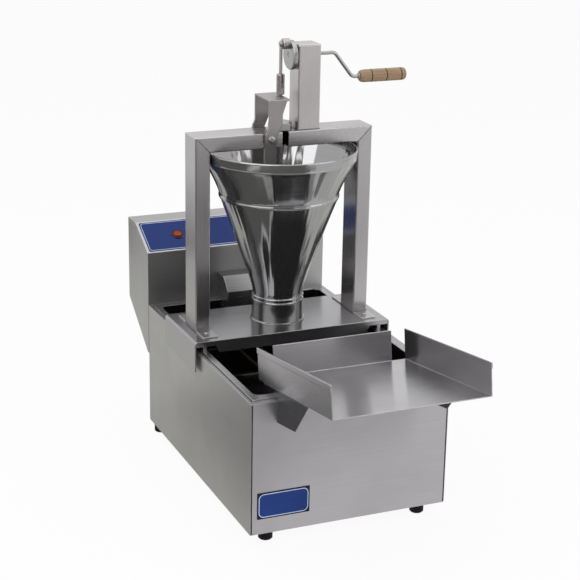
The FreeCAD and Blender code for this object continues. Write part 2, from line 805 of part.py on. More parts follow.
def make_gantry():
    half = gantry_w / 2
    beam_tube = rect_tube(-half, half, beam_front, beam_rear, beam_low, beam_top, tube_wall, "x")
    beam = beam_tube.common(fuse([mitre_block(-1), mitre_block(1)]))
    slot = box(-beam_slot / 2, beam_slot / 2, beam_front - over, filler_y, beam_low - over,
               beam_top + over)
    eye = rod_between(V(0, filler_y, beam_low - over), V(0, filler_y, beam_top + over), beam_slot / 2)
    keep("gantry_beam", beam.cut(slot).cut(eye))
    for sign, name in ((-1, "gantry_post_left"), (1, "gantry_post_right")):
        outer, inner = sign * half, sign * (half - tube_w)
        post = rect_tube(min(outer, inner), max(outer, inner), beam_front, beam_rear,
                         post_foot, beam_top, tube_wall, "z")
        above = plate_xz([(inner, beam_low), (outer, beam_top), (outer, post_foot),
                          (inner, post_foot)], beam_front - over, beam_rear + over)
        keep(name, post.common(above))
    plates = []
    for sign in (-1, 1):
        inner, outer = sorted((sign * (half - tube_w), sign * half))
        plate = box(inner, outer, filler_y - foot_plate_l / 2, filler_y + foot_plate_l / 2,
                    bridge_top, post_foot)
        plate = round_edges(plate, foot_plate_corner, is_vertical)
        for x, y in foot_bolt_places():
            plate = plate.cut(rod_between(V(x, y, bridge_top - over), V(x, y, post_foot + over),
                                          foot_bolt_r + fit_gap))
        plates.append(plate)
    keep("gantry_foot_plates", plates)
    bolts = []
    for x, y in foot_bolt_places():
        bolts.append(pan_screw(V(x, y, post_foot), -Z_AXIS, foot_bolt_r,
                               foot_plate_t + bridge_sheet + foot_bolt_end))
    keep("foot_bolts", bolts)


def make_column():
    y0, y1 = filler_y - column_side / 2, filler_y + column_side / 2
    post = rect_tube(column_left, column_right, y0, y1, beam_top, column_top - cap_t, column_wall, "z")
    bearing_hole = rod_between(V(column_left - over, filler_y, shaft_z),
                               V(column_right + over, filler_y, shaft_z), bush_r)
    keep("crank_column", post.cut(bearing_hole))
    cap = box(column_left, column_right, y0, y1, column_top - cap_t, column_top)
    cap = round_edges(cap, tube_bend, is_vertical)
    top_edges = [e for e in cap.Edges if e.BoundBox.ZMin > column_top - 0.01]
    keep("column_cap", cap.makeChamfer(cap_bevel, top_edges))
    bushes = []
    for face, out in ((column_left, -1), (column_right, 1)):
        flange = tube_between(V(face, filler_y, shaft_z),
                              V(face + out * bush_flange_t, filler_y, shaft_z),
                              bush_flange_r, shaft_r + fit_gap)
        barrel = tube_between(V(face - out * bush_l, filler_y, shaft_z), V(face, filler_y, shaft_z),
                              bush_r - bush_press, shaft_r + fit_gap)
        bushes.append(flange.fuse(barrel).removeSplitter())
    keep("shaft_bushes", bushes)


# ---------------------------------------------------------------- crank
disc_right = column_left - disc_to_column
disc_left = disc_right - crank_disc_t


def make_crank():
    y = filler_y
    bend_x = column_right + handle_straight
    low_x = bend_x + handle_slope_dx
    route = [V(disc_left + disc_screw_h, y, shaft_z), V(bend_x, y, shaft_z), V(low_x, y, handle_z),
             V(grip_end_x - 2 * seat_gap, y, handle_z)]
    keep("crank_shaft", swept_rod(route, shaft_r, handle_bend_r))
    hub_end = column_left - bush_flange_t - seat_gap
    socket = disc_left + disc_screw_h
    keep("crank_disc", turned_along_x(
        [(disc_left, disc_screw_r), (disc_left, crank_disc_r - edge_bevel),
         (disc_left + edge_bevel, crank_disc_r),
         (disc_right, crank_disc_r), (disc_right, crank_hub_r), (hub_end, crank_hub_r),
         (hub_end, shaft_r), (socket, shaft_r), (socket, disc_screw_r)], y, shaft_z))
    keep("disc_screw", rod_between(V(disc_left + disc_screw_sink, y, shaft_z), V(socket, y, shaft_z),
                                   disc_screw_r))
    bush_end = link_t / 2 + seat_gap
    keep("crank_pin_bush", turned_along_x(
        [(bush_end, 0), (bush_end, crank_bush_r - crank_bush_bevel),
         (bush_end + crank_bush_bevel, crank_bush_r),
         (disc_left, crank_bush_r), (disc_left, 0)], y, crank_pin_z))


def grip_outline():
    """(x, radius) outline of the turned wooden grip."""
    shoulder_r = grip_r - grip_shoulder
    return [(grip_start_x, 0), (grip_start_x, shoulder_r), (grip_start_x + grip_shoulder, grip_r),
            (grip_end_x - grip_shoulder, grip_r), (grip_end_x, shoulder_r), (grip_end_x, 0)]


def make_grip():
    body = turned_along_x(grip_outline(), filler_y, handle_z)
    bore = rod_between(V(grip_start_x - over, filler_y, handle_z),
                       V(grip_end_x + over, filler_y, handle_z), shaft_r + fit_gap)
    recess = rod_between(V(grip_end_x - grip_recess, filler_y, handle_z),
                         V(grip_end_x + over, filler_y, handle_z), grip_nut_r + 2 * seat_gap)
    keep("wooden_grip", body.cut(bore).cut(recess))
    nut_start = V(grip_end_x - grip_recess + seat_gap, filler_y, handle_z)
    nut_end = V(grip_end_x - seat_gap, filler_y, handle_z)
    keep("grip_end_nut", tube_between(nut_start, nut_end, grip_nut_r, shaft_r))
    ring_end = V(grip_start_x - seat_gap, filler_y, handle_z)
    keep("grip_stop_ring", tube_between(ring_end - X_AXIS * grip_ring_t, ring_end, grip_nut_r, shaft_r))


# ---------------------------------------------------------------- linkage and yoke
yoke_top_z = beam_top + yoke_top
clevis_low = yoke_top_z + neck_l
clevis_top = clevis_low + clevis_l
clevis_pin_z = clevis_top - clevis_slot_depth / 2


def make_linkage():
    t = link_t / 2
    eye = rod_between(V(-t, filler_y, crank_pin_z), V(t, filler_y, crank_pin_z), link_eye_r)
    foot = rod_between(V(-t, filler_y, clevis_pin_z), V(t, filler_y, clevis_pin_z), link_w / 2)
    bar = box(-t, t, filler_y - link_w / 2, filler_y + link_w / 2, clevis_pin_z, crank_pin_z)
    hole = rod_between(V(-t - over, filler_y, clevis_pin_z), V(t + over, filler_y, clevis_pin_z),
                       clevis_pin_r + fit_gap)
    keep("connecting_link", fuse([eye, foot, bar]).cut(hole))
    keep("link_pin_cap", turned_along_x(
        [(-t, 0), (-t, pin_cap_r), (-t - pin_cap_t / 2, pin_cap_r), (-t - pin_cap_t, pin_cap_r - edge_bevel),
         (-t - pin_cap_t, 0)], filler_y, crank_pin_z))
    body = turned([(0, clevis_low), (clevis_r - edge_bevel, clevis_low),
                   (clevis_r, clevis_low + edge_bevel), (clevis_r, clevis_top - edge_bevel),
                   (clevis_r - edge_bevel, clevis_top), (0, clevis_top)], 0, filler_y)
    slot = box(-clevis_slot_w / 2, clevis_slot_w / 2, filler_y - clevis_r - over,
               filler_y + clevis_r + over, clevis_top - clevis_slot_depth, clevis_top + over)
    neck = rod_between(V(0, filler_y, yoke_top_z - yoke_t), V(0, filler_y, clevis_low + over), neck_r)
    body = body.cut(slot).fuse(neck)
    pin_hole = rod_between(V(-clevis_r - over, filler_y, clevis_pin_z),
                           V(clevis_r + over, filler_y, clevis_pin_z), clevis_pin_r)
    keep("clevis", body.cut(pin_hole).removeSplitter())
    pin_end = clevis_r - clevis_pin_sink
    keep("clevis_pin", rod_between(V(-pin_end, filler_y, clevis_pin_z),
                                   V(pin_end, filler_y, clevis_pin_z), clevis_pin_r))


yoke_inner = tube_d / 2 + seat_gap + strap_t
yoke_outer = yoke_inner + yoke_t
strap_bolt_z = beam_top - strap_bolt_drop
yoke_tail_z = beam_top - yoke_tail_below


def yoke_leg_outline():
    """(x, z) outline of a leg: wide head, waist, and a tail set off to the left."""
    top = yoke_top_z
    return [(yoke_left, top), (yoke_right, top),
            (yoke_right - yoke_shoulder_in, top - yoke_shoulder_drop),
            (yoke_waist_right, top - yoke_waist_start), (yoke_waist_right, top - yoke_waist_end),
            (yoke_tail_right, top - yoke_right_end), (yoke_tail_right, yoke_tail_z),
            (yoke_tail_left, yoke_tail_z), (yoke_tail_left, top - yoke_left_end),
            (yoke_waist_left, top - yoke_left_start)]


def make_yoke():
    legs = []
    for sign in (-1, 1):
        near, far = sorted((filler_y + sign * yoke_inner, filler_y + sign * yoke_outer))
        leg = plate_xz(yoke_leg_outline(), near, far)
        leg = round_edges(leg, yoke_corner, lambda e: e.BoundBox.YLength > yoke_t / 2
                          and e.BoundBox.ZMax < yoke_top_z - yoke_shoulder_drop - yoke_corner)
        legs.append(leg)
    top = box(yoke_left, yoke_right, filler_y - yoke_outer, filler_y + yoke_outer,
              yoke_top_z - yoke_t, yoke_top_z)
    top = top.cut(rod_between(V(0, filler_y, 0), V(0, filler_y, 2 * yoke_top_z), neck_r))
    yoke = fuse(legs + [top])
    yoke = round_edges(yoke, yoke_bend, lambda e: e.BoundBox.ZMin > yoke_top_z - 0.01
                       and e.BoundBox.YLength < 0.01)
    middle = (yoke_tail_left + yoke_tail_right) / 2
    bolts = []
    for sign in (-1, 1):
        face = V(middle, filler_y + sign * yoke_outer, strap_bolt_z)
        outward = Y_AXIS * sign
        hole = rod_between(face + outward * over, face - outward * (yoke_t + over), yoke_bolt_r)
        yoke = yoke.cut(hole)
        washer = tube_between(face, face + outward * washer_t, washer_r, yoke_bolt_r)
        screw = pan_screw(face + outward * washer_t, -outward, yoke_bolt_r,
                          washer_t + yoke_t + strap_t)
        bolts.append(screw.fuse(washer).removeSplitter())
    keep("yoke_bracket", yoke)
    keep("yoke_bolts", bolts)


spider_z = casing_bottom + strap_bottom
strap_top_z = beam_top + strap_above_beam
sleeve_outer_r = neck_outer_r - hopper_wall - seat_gap
sleeve_low = bridge_top + sleeve_rest
sleeve_top = sleeve_low + sleeve_h
spoke_low = sleeve_low + former_h + spoke_clear


def make_hanger():
    middle = (yoke_tail_left + yoke_tail_right) / 2
    strap_x0, strap_x1 = yoke_tail_left + strap_inset, yoke_tail_right - strap_inset
    parts = []
    for sign in (-1, 1):
        near, far = sorted((filler_y + sign * (yoke_inner - strap_t), filler_y + sign * yoke_inner))
        strap = box(strap_x0, strap_x1, near, far, spider_z, strap_top_z)
        strap = strap.cut(rod_between(V(middle, filler_y - yoke_outer, strap_bolt_z),
                                      V(middle, filler_y + yoke_outer, strap_bolt_z), yoke_bolt_r))
        parts.append(strap)
    cross = box(strap_x0, strap_x1, filler_y - yoke_inner, filler_y + yoke_inner,
                spider_z, spider_z + spider_t)
    arm = box(strap_x0 + spider_arm_start, 0, filler_y - spider_arm_w / 2, filler_y + spider_arm_w / 2,
              spider_z, spider_z + spider_t)
    hub_tube = rod_between(V(0, filler_y, spoke_low),
                           V(0, filler_y, spider_z + spider_t + hub_above_spider), hub_r)
    parts += [cross, arm, hub_tube]
    guide = rod_between(V(0, filler_y, 0), V(0, filler_y, 2 * beam_top), rod_r + 2 * fit_gap)
    hanger = fuse(parts).cut(guide).removeSplitter()
    keep("plunger_hanger", hanger)
    sleeve = tube_between(V(0, filler_y, sleeve_low), V(0, filler_y, sleeve_top),
                          sleeve_outer_r, sleeve_outer_r - sleeve_wall)
    spokes = []
    for angle in (90, 210, 330):
        spoke = box(0, sleeve_outer_r - sleeve_wall / 2, -spoke_t / 2, spoke_t / 2,
                    spoke_low, spoke_low + spoke_h)
        spoke.rotate(V(0, 0, 0), Z_AXIS, angle)
        spoke.translate(V(0, filler_y, 0))
        spokes.append(spoke)
    hub_clear = rod_between(V(0, filler_y, sleeve_low), V(0, filler_y, sleeve_top), hub_r)
    keep("plunger_sleeve", fuse([sleeve] + spokes).cut(hub_clear).removeSplitter())


# ---------------------------------------------------------------- hopper
def flare(start_r, end_r, low, high, power, steps):
    """(radius, z) points of a cone that opens a little faster towards its top."""
    shares = [i / steps for i in range(steps + 1)]
    return [(start_r + (end_r - start_r) * share ** power, low + (high - low) * share)
            for share in shares]


def make_lower_hopper():
    mouth = bridge_under - mouth_drop
    joint_z = bridge_top + hopper_joint
    cone = flare(neck_outer_r, hopper_joint_r, bridge_top + hopper_neck_top, joint_z, hopper_flare, 2)
    outer = [(neck_outer_r, mouth)]
    for low in (bridge_top + collar_h, bridge_top + collar_h + neck_bead_pitch):
        outer += [(neck_outer_r, low), (neck_outer_r + bead_r, low + bead_r),
                  (neck_outer_r, low + 2 * bead_r)]
    outer += cone
    inner = [(radius - hopper_wall, z) for radius, z in reversed(cone)]
    inner += [(neck_outer_r - hopper_wall, mouth)]
    keep("hopper_lower", turned(outer + inner, 0, filler_y))


def make_upper_hopper():
    joint_z = bridge_top + hopper_joint
    band_low = bridge_top + hopper_band_low
    band_top = bridge_top + hopper_band_top
    cone = flare(hopper_joint_r + half_bead, hopper_band_r - half_bead, joint_z + joint_bead_h,
                 band_low, hopper_upper_flare, 2)
    outer = [(hopper_joint_r + half_bead, joint_z),
             (hopper_joint_r + 2 * half_bead, joint_z + joint_bead_h / 2)]
    outer += cone
    outer += [(hopper_band_r, band_low), (hopper_band_r, band_top - lip_roll_r),
              (hopper_band_r - lip_roll_r, band_top)]
    inner = [(hopper_band_r - 2 * lip_roll_r, band_top),
             (hopper_band_r - 2 * lip_roll_r, band_low + hopper_wall)]
    inner += [(radius - hopper_wall, z) for radius, z in reversed(cone)]
    inner += [(hopper_joint_r - hopper_wall, joint_z)]
    keep("hopper_upper", turned(outer + inner, 0, filler_y))


def make_collar():
    collar = [(neck_outer_r + fit_gap, bridge_top), (collar_r + collar_foot, bridge_top),
              (collar_r + collar_foot, bridge_top + collar_wall),
              (collar_r, bridge_top + 2 * collar_wall),
              (collar_r, bridge_top + collar_h), (neck_outer_r + fit_gap, bridge_top + collar_h)]
    keep("hopper_collar", turned(collar, 0, filler_y))


def make_centre_rod():
    mouth = bridge_under - mouth_drop
    former_top = mouth + former_h
    rod_low = mouth - former_nut_h - rod_below_nut
    rod_top = beam_top + lock_nut_h + rod_stickout
    tip_r = rod_r - edge_bevel
    keep("centre_rod", turned([(0, rod_low), (tip_r, rod_low), (rod_r, rod_low + edge_bevel),
                               (rod_r, rod_top - edge_bevel), (tip_r, rod_top), (0, rod_top)],
                              0, filler_y))
    former = turned([(rod_r, mouth), (former_r, mouth), (former_r, mouth + former_rim_h),
                     (rod_r + former_hub_w, former_top), (rod_r, former_top)], 0, filler_y)
    keep("forming_disc", former)
    nut = hexagon(former_nut_af, former_nut_h, 0, filler_y, mouth - former_nut_h, bevelled=False)
    keep("former_nut", nut.cut(rod_between(V(0, filler_y, 0), V(0, filler_y, 2 * mouth), rod_r)))
    top_nut = hexagon(lock_nut_af, lock_nut_h, 0, filler_y, beam_top)
    keep("lock_nut", top_nut.cut(rod_between(V(0, filler_y, 0), V(0, filler_y, 2 * beam_top), rod_r)))
    under_nut = hexagon(under_nut_af, under_nut_h, 0, filler_y, beam_low - under_nut_h, bevelled=False)
    keep("under_nut", under_nut.cut(rod_between(V(0, filler_y, 0), V(0, filler_y, 2 * beam_top), rod_r)))


# ---------------------------------------------------------------- drain tray
tray_origin = V(tray_x, tray_front_y, casing_bottom + tray_front_z)


def on_tray(along, lift):
    """(y, z) of a point on the tilted tray: distance back along the floor, height above it."""
    y = tray_front_y + along * math.cos(tilt) + lift * math.sin(tilt)
    z = tray_origin.z - along * math.sin(tilt) + lift * math.cos(tilt)
    return y, z


def make_tray():
    half = tray_w / 2
    x0, x1 = tray_x - half, tray_x + half
    y0, z0 = tray_front_y, tray_origin.z
    floor = box(x0, x1, y0, y0 + tray_l, z0, z0 + sheet)
    sides = []
    for x, out in ((x0, -1), (x1 - sheet, 1)):
        wall = box(x, x + sheet, y0, y0 + tray_l, z0, z0 + tray_wall_h)
        hem_x = x - sheet if out < 0 else x + sheet
        hem = box(hem_x, hem_x + sheet, y0, y0 + tray_l, z0 + tray_wall_h - tray_hem_h,
                  z0 + tray_wall_h)
        sides += [wall, hem]
    rear = box(tray_x - tray_rear_w / 2, tray_x + tray_rear_w / 2, y0 + tray_l - sheet, y0 + tray_l,
               z0, z0 + tray_wall_h)
    tray = fuse([floor] + sides + [rear])
    keep("drain_tray", tilted(tray, tray_origin, -tray_tilt))
    make_tray_brackets(x0)


def make_tray_brackets(x0):
    front_face = -half_l - seat_gap
    rim_rest = bath_flange_top
    inside = bath_y0 + sheet + bracket_hook_gap
    y_front, z_front = on_tray(bracket_front_top, 0.0)
    y_rear, z_rear = on_tray(bracket_rear_top, 0.0)
    toe_y, toe_z = y_front + bracket_toe_back, z_front - bracket_toe_drop
    foot_z = toe_z - bracket_foot_drop
    outline = [(y_front, z_front), (toe_y, toe_z), (front_face, foot_z), (front_face, rim_rest),
               (inside, rim_rest), (inside, rim_rest - bracket_hook_drop),
               (inside + bracket_hook_w, rim_rest - bracket_hook_drop), (y_rear, z_rear)]
    plate = plate_yz(outline, x0, x0 + sheet)
    corners = [on_tray(along, lift) for along, lift in
               ((bracket_front_top, 0.0), (bracket_rear_top, 0.0),
                (bracket_rear_top, -sheet), (bracket_front_top, -sheet))]
    flange = plate_yz(corners, x0, x0 + bracket_flange)
    bracket = fuse([plate, flange])
    keep("tray_brackets", [bracket, mirrored_x(bracket, tray_x)])


# ---------------------------------------------------------------- output
def write_parts():
    os.makedirs("parts", exist_ok=True)
    for name, shape in nodes.items():
        placed = shape.copy()
        placed.translate(V(-origin_x, -origin_y, 0))
        placed.exportStep(f"parts/{name}.step")
        print(f"{name:20s} solids {len(placed.Solids)} volume {placed.Volume:.0f} "
              f"valid {placed.isValid()}")


make_casing()
make_underside()
make_bath()
make_head()
make_switch()
make_thermostat()
make_hood()
make_element()
make_bridge()
make_gantry()
make_column()
make_crank()
make_grip()
make_linkage()
make_yoke()
make_hanger()
make_lower_hopper()
make_upper_hopper()
make_collar()
make_centre_rod()
make_tray()
write_parts()
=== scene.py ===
import json
import math
import bpy
import bmesh
from mathutils import Matrix, Vector


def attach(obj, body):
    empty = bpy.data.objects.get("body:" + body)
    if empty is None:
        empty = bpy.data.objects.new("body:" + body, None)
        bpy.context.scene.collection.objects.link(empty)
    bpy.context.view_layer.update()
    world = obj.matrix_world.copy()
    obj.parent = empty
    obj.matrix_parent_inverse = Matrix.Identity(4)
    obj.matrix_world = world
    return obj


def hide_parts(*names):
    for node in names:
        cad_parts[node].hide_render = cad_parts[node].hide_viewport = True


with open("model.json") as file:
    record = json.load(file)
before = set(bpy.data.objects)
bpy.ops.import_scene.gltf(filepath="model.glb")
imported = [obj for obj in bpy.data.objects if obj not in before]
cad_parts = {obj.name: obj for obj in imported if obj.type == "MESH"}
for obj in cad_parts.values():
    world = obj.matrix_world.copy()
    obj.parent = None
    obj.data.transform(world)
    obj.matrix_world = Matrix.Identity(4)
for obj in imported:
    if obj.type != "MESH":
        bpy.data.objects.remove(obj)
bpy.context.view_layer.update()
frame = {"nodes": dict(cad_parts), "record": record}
nodes = frame["nodes"]
print("frame loaded:", len(nodes), "nodes")

mm = 0.001
shiftX, shiftY = -24.5 * mm, 37.35 * mm      # casing middle, in the machine's frame
fillerY = 57.5                               # filler's middle, from the casing's, in mm


def at(x, y, z):
    # a place given from the casing's middle in millimetres
    return Vector((x * mm + shiftX, y * mm + shiftY, z * mm))


# camera
camera = {
    "place": (-0.98401, -2.20232, 1.11548),
    "yaw": 0.404,          # radians, from +Y towards +X
    "pitch": 0.3163,       # downwards
    "roll": 0.017,
    "lens": 97.91, "sensor": 36.0,
    "reach": 50.0,         # how far it sees
}


def addCamera(c):
    cy, sy = math.cos(c["yaw"]), math.sin(c["yaw"])
    cp, sp = math.cos(c["pitch"]), math.sin(c["pitch"])
    cr, sr = math.cos(c["roll"]), math.sin(c["roll"])
    ahead = Vector((sy * cp, cy * cp, -sp))
    side = Vector((cy, -sy, 0.0))
    up = side.cross(ahead)
    right = side * cr + up * sr
    top = up * cr - side * sr
    data = bpy.data.cameras.new("camera")
    data.lens = c["lens"]
    data.sensor_width = c["sensor"]
    data.clip_end = c["reach"]
    obj = bpy.data.objects.new("camera", data)
    bpy.context.scene.collection.objects.link(obj)
    turn = Matrix((right, top, -ahead)).transposed().to_4x4()
    obj.matrix_world = Matrix.Translation(c["place"]) @ turn
    bpy.context.scene.camera = obj


addCamera(camera)


# node trees
def newMaterial(name):
    mat = bpy.data.materials.new(name)
    mat.use_nodes = True
    tree = mat.node_tree
    tree.nodes.clear()
    out = tree.nodes.new("ShaderNodeOutputMaterial")
    return mat, tree, out


def node(tree, kind, **values):
    made = tree.nodes.new(kind)
    for key, value in values.items():
        if hasattr(made, key) and key not in made.inputs:
            setattr(made, key, value)
        else:
            made.inputs[key].default_value = value
    return made


def noise(tree, coords, scale, stretch=(1, 1, 1), detail=3.0, rough=0.5, distort=0.0):
    place = node(tree, "ShaderNodeMapping", Scale=stretch)
    tree.links.new(coords, place.inputs["Vector"])
    made = node(tree, "ShaderNodeTexNoise", Scale=scale, Detail=detail, Roughness=rough,
                Distortion=distort)
    tree.links.new(place.outputs["Vector"], made.inputs["Vector"])
    return made.outputs["Fac"]


def ranged(tree, value, low, high, start=0.3, end=0.7):
    made = node(tree, "ShaderNodeMapRange")
    made.inputs["From Min"].default_value = start
    made.inputs["From Max"].default_value = end
    made.inputs["To Min"].default_value = low
    made.inputs["To Max"].default_value = high
    tree.links.new(value, made.inputs["Value"])
    return made.outputs["Result"]


def math2(tree, operation, a, b):
    made = node(tree, "ShaderNodeMath", operation=operation)
    for socket, value in zip(made.inputs, (a, b)):
        if isinstance(value, (int, float)):
            socket.default_value = value
        else:
            tree.links.new(value, socket)
    return made.outputs[0]


def blendColor(tree, factor, a, b):
    made = node(tree, "ShaderNodeMix", data_type="RGBA")
    for socket, value in ((made.inputs[6], a), (made.inputs[7], b)):
        if isinstance(value, tuple):
            socket.default_value = (*value, 1.0)
        else:
            tree.links.new(value, socket)
    tree.links.new(factor, made.inputs[0])
    return made.outputs[2]


def shaded(color, gain, lift=0.0):
    return tuple(c * gain + lift for c in color)


# cosine between the rounded and the plain normal, on a sharp edge and on a flat face
edges = {"sharp": 0.72, "flat": 0.995, "samples": 4}


def edgeMask(tree, radius):
    # 0 on flat faces, rising towards the edges: the mask of the painted edge highlight, given
    # with the rounded normal
    soft = node(tree, "ShaderNodeBevel", Radius=radius)
    soft.samples = edges["samples"]
    plain = node(tree, "ShaderNodeNewGeometry")
    dot = node(tree, "ShaderNodeVectorMath", operation="DOT_PRODUCT")
    tree.links.new(soft.outputs["Normal"], dot.inputs[0])
    tree.links.new(plain.outputs["Normal"], dot.inputs[1])
    mask = ranged(tree, dot.outputs["Value"], 1.0, 0.0, edges["sharp"], edges["flat"])
    return mask, soft.outputs["Normal"]


# steel
steelLooks = {
    "casing": {"color": (0.40, 0.395, 0.395), "rough": 0.34, "grain": "level", "smudge": 0.07},
    "front": {"color": (0.435, 0.42, 0.435), "rough": 0.34, "grain": "level", "smudge": 0.07},
    "bath": {"color": (0.40, 0.39, 0.40), "rough": 0.26, "grain": "level", "smudge": 0.05},
    "frame": {"color": (0.43, 0.415, 0.42), "rough": 0.24, "grain": "upright", "smudge": 0.025},
    "column": {"color": (0.50, 0.48, 0.475), "rough": 0.28, "grain": "upright", "smudge": 0.06},
    "bridge": {"color": (0.35, 0.345, 0.355), "rough": 0.20, "grain": "level", "smudge": 0.05},
    "beam": {"color": (0.45, 0.435, 0.44), "rough": 0.24, "grain": "level", "smudge": 0.05},
    "yoke": {"color": (0.36, 0.34, 0.335), "rough": 0.33, "grain": "upright", "smudge": 0.08},
    "polished": {"color": (0.35, 0.35, 0.355), "rough": 0.10, "grain": "round", "smudge": 0.05,
                 "edgeWidth": 0.0005, "edgeHighlight": 0.15},
    "collar": {"color": (0.25, 0.25, 0.245), "rough": 0.18, "grain": "round", "smudge": 0.05,
               "edgeWidth": 0.0008, "edgeHighlight": 0.4},
    "tray": {"color": (0.44, 0.43, 0.445), "rough": 0.21, "grain": "level", "smudge": 0.03,
             "smear": 0.9, "tooth": 0.01},
    "bracket": {"color": (0.12, 0.12, 0.13), "rough": 0.22, "grain": "level", "smudge": 0.06},
    "hood": {"color": (0.26, 0.255, 0.26), "rough": 0.24, "grain": "level", "smudge": 0.06},
    "plated": {"color": (0.36, 0.355, 0.35), "rough": 0.28, "grain": "level", "smudge": 0.05},
    "bush": {"color": (0.40, 0.29, 0.15), "rough": 0.30, "grain": "round", "smudge": 0.05},
    "weld": {"color": (0.16, 0.155, 0.155), "rough": 0.38, "grain": "round", "smudge": 0.12},
    "element": {"color": (0.025, 0.019, 0.016), "rough": 0.42, "grain": "round", "smudge": 0.10},
}
# the edge entries below paint a highlight along the edges
steelWearAndEdgeHighlight = {       # shared by all the steels, unless a look above has its own
    "metallic": 0.94, "smear": 0.7, "tooth": 0.06, "toothDeep": 0.0003,
    "edgeWidth": 0.0018, "edgeHighlight": 0.75, "edgeGain": 1.7, "edgeLift": 0.03,
    "grainDark": 0.92, "grainLight": 1.06, "grainRough": 0.035,
    "cloudScale": 9.0, "cloudDark": 0.8, "cloudShare": 0.35,
    "markScale": 55.0, "markStretch": (1, 1, 0.4), "markShare": 0.4,
    "scratchScale": (25, 700, 60), "scratchDeep": 0.25,
}
steelSpans = {      # from where a noise or a slope begins to tell to where it tells in full
    "up": (0.6, 0.8), "grain": (0.25, 0.75), "cloud": (0.42, 0.75), "worn": (0.3, 0.75),
    "marks": (0.60, 0.80), "scratch": (0.72, 0.78),
}
grainScales = {     # on upright faces and on level ones
    "level": ((6, 6, 900), (6, 900, 900)),
    "upright": ((900, 900, 6), (6, 900, 900)),
    "round": ((30, 30, 700), (200, 200, 200)),
}
# painted shade of the bath's deep inside, below this level
bathShade = {"color": (0.045, 0.042, 0.040), "level": 233.6, "under": 0.6, "over": 0.2}  # heights in mm
waves = {"around": 9.0, "along": 1.6, "scale": 2.2, "height": 0.0036}


def acrossGrain(tree, normal, topness, grain):
    # brushed steel smears what it mirrors square to its grain
    level = node(tree, "ShaderNodeCombineXYZ")
    tree.links.new(topness, level.inputs["Y"])
    tree.links.new(math2(tree, "SUBTRACT", 1.0, topness), level.inputs["Z"])
    if grain != "upright":
        return level.outputs[0]
    sideways = node(tree, "ShaderNodeVectorMath", operation="CROSS_PRODUCT")
    tree.links.new(normal, sideways.inputs[0])
    sideways.inputs[1].default_value = (0.0, 0.0, 1.0)
    both = node(tree, "ShaderNodeMix", data_type="VECTOR")
    tree.links.new(topness, both.inputs[0])
    tree.links.new(sideways.outputs[0], both.inputs[4])
    both.inputs[5].default_value = (0.0, 1.0, 0.0)
    return both.outputs[1]


def rolledWaves(tree, coords, normal):
    # shallow waves that run up a sheet rolled round the hopper's axis
    axis = at(0, fillerY, 0)
    centred = node(tree, "ShaderNodeMapping", Location=(-axis.x, -axis.y, 0))
    tree.links.new(coords, centred.inputs["Vector"])
    around = node(tree, "ShaderNodeTexGradient", gradient_type="RADIAL")
    tree.links.new(centred.outputs["Vector"], around.inputs["Vector"])
    split = node(tree, "ShaderNodeSeparateXYZ")
    tree.links.new(coords, split.inputs[0])
    turned = math2(tree, "MULTIPLY", around.outputs["Fac"], waves["around"])
    raised = math2(tree, "MULTIPLY", split.outputs["Z"], waves["along"])
    spread = node(tree, "ShaderNodeCombineXYZ")
    tree.links.new(turned, spread.inputs["X"])
    tree.links.new(raised, spread.inputs["Y"])
    swell = noise(tree, spread.outputs[0], waves["scale"], detail=2.0, rough=0.45, distort=0.4)
    bump = node(tree, "ShaderNodeBump", Strength=1.0, Distance=waves["height"])
    tree.links.new(swell, bump.inputs["Height"])
    tree.links.new(normal, bump.inputs["Normal"])
    return bump.outputs["Normal"]


def paintedBathShade(tree, coords, tone):
    # painted shade: the bath's deep inside is painted dark below its rim
    place = node(tree, "ShaderNodeSeparateXYZ")
    tree.links.new(coords, place.inputs[0])
    low, high = (bathShade["level"] - bathShade["under"]) * mm, (bathShade["level"] + bathShade["over"]) * mm
    inside = ranged(tree, place.outputs["Z"], 1.0, 0.0, low, high)
    return blendColor(tree, inside, tone, bathShade["color"])


def steelTone(tree, look, grain, cloud, edge):
    w, base = steelWearAndEdgeHighlight, look["color"]
    tone = blendColor(tree, ranged(tree, grain, 0.0, 1.0, *steelSpans["grain"]),
                      shaded(base, w["grainDark"]), shaded(base, w["grainLight"]))
    smudged = ranged(tree, cloud, 0.0, w["cloudShare"], *steelSpans["cloud"])
    tone = blendColor(tree, smudged, tone, shaded(base, w["cloudDark"]))
    # painted highlight: the edges are lightened
    shine = math2(tree, "MULTIPLY", edge, look.get("edgeHighlight", w["edgeHighlight"]))
    return blendColor(tree, shine, tone, shaded(base, w["edgeGain"], w["edgeLift"]))


def steelRough(tree, coords, look, grain, cloud):
    w, rough, smudge = steelWearAndEdgeHighlight, look["rough"], look["smudge"]
    marks = noise(tree, coords, w["markScale"], w["markStretch"], rough=0.6, distort=1.2)
    worn = ranged(tree, cloud, rough - smudge / 2, rough + smudge, *steelSpans["worn"])
    fine = ranged(tree, grain, -w["grainRough"], w["grainRough"])
    handled = ranged(tree, marks, 0.0, smudge * w["markShare"], *steelSpans["marks"])
    return math2(tree, "ADD", math2(tree, "ADD", worn, fine), handled)


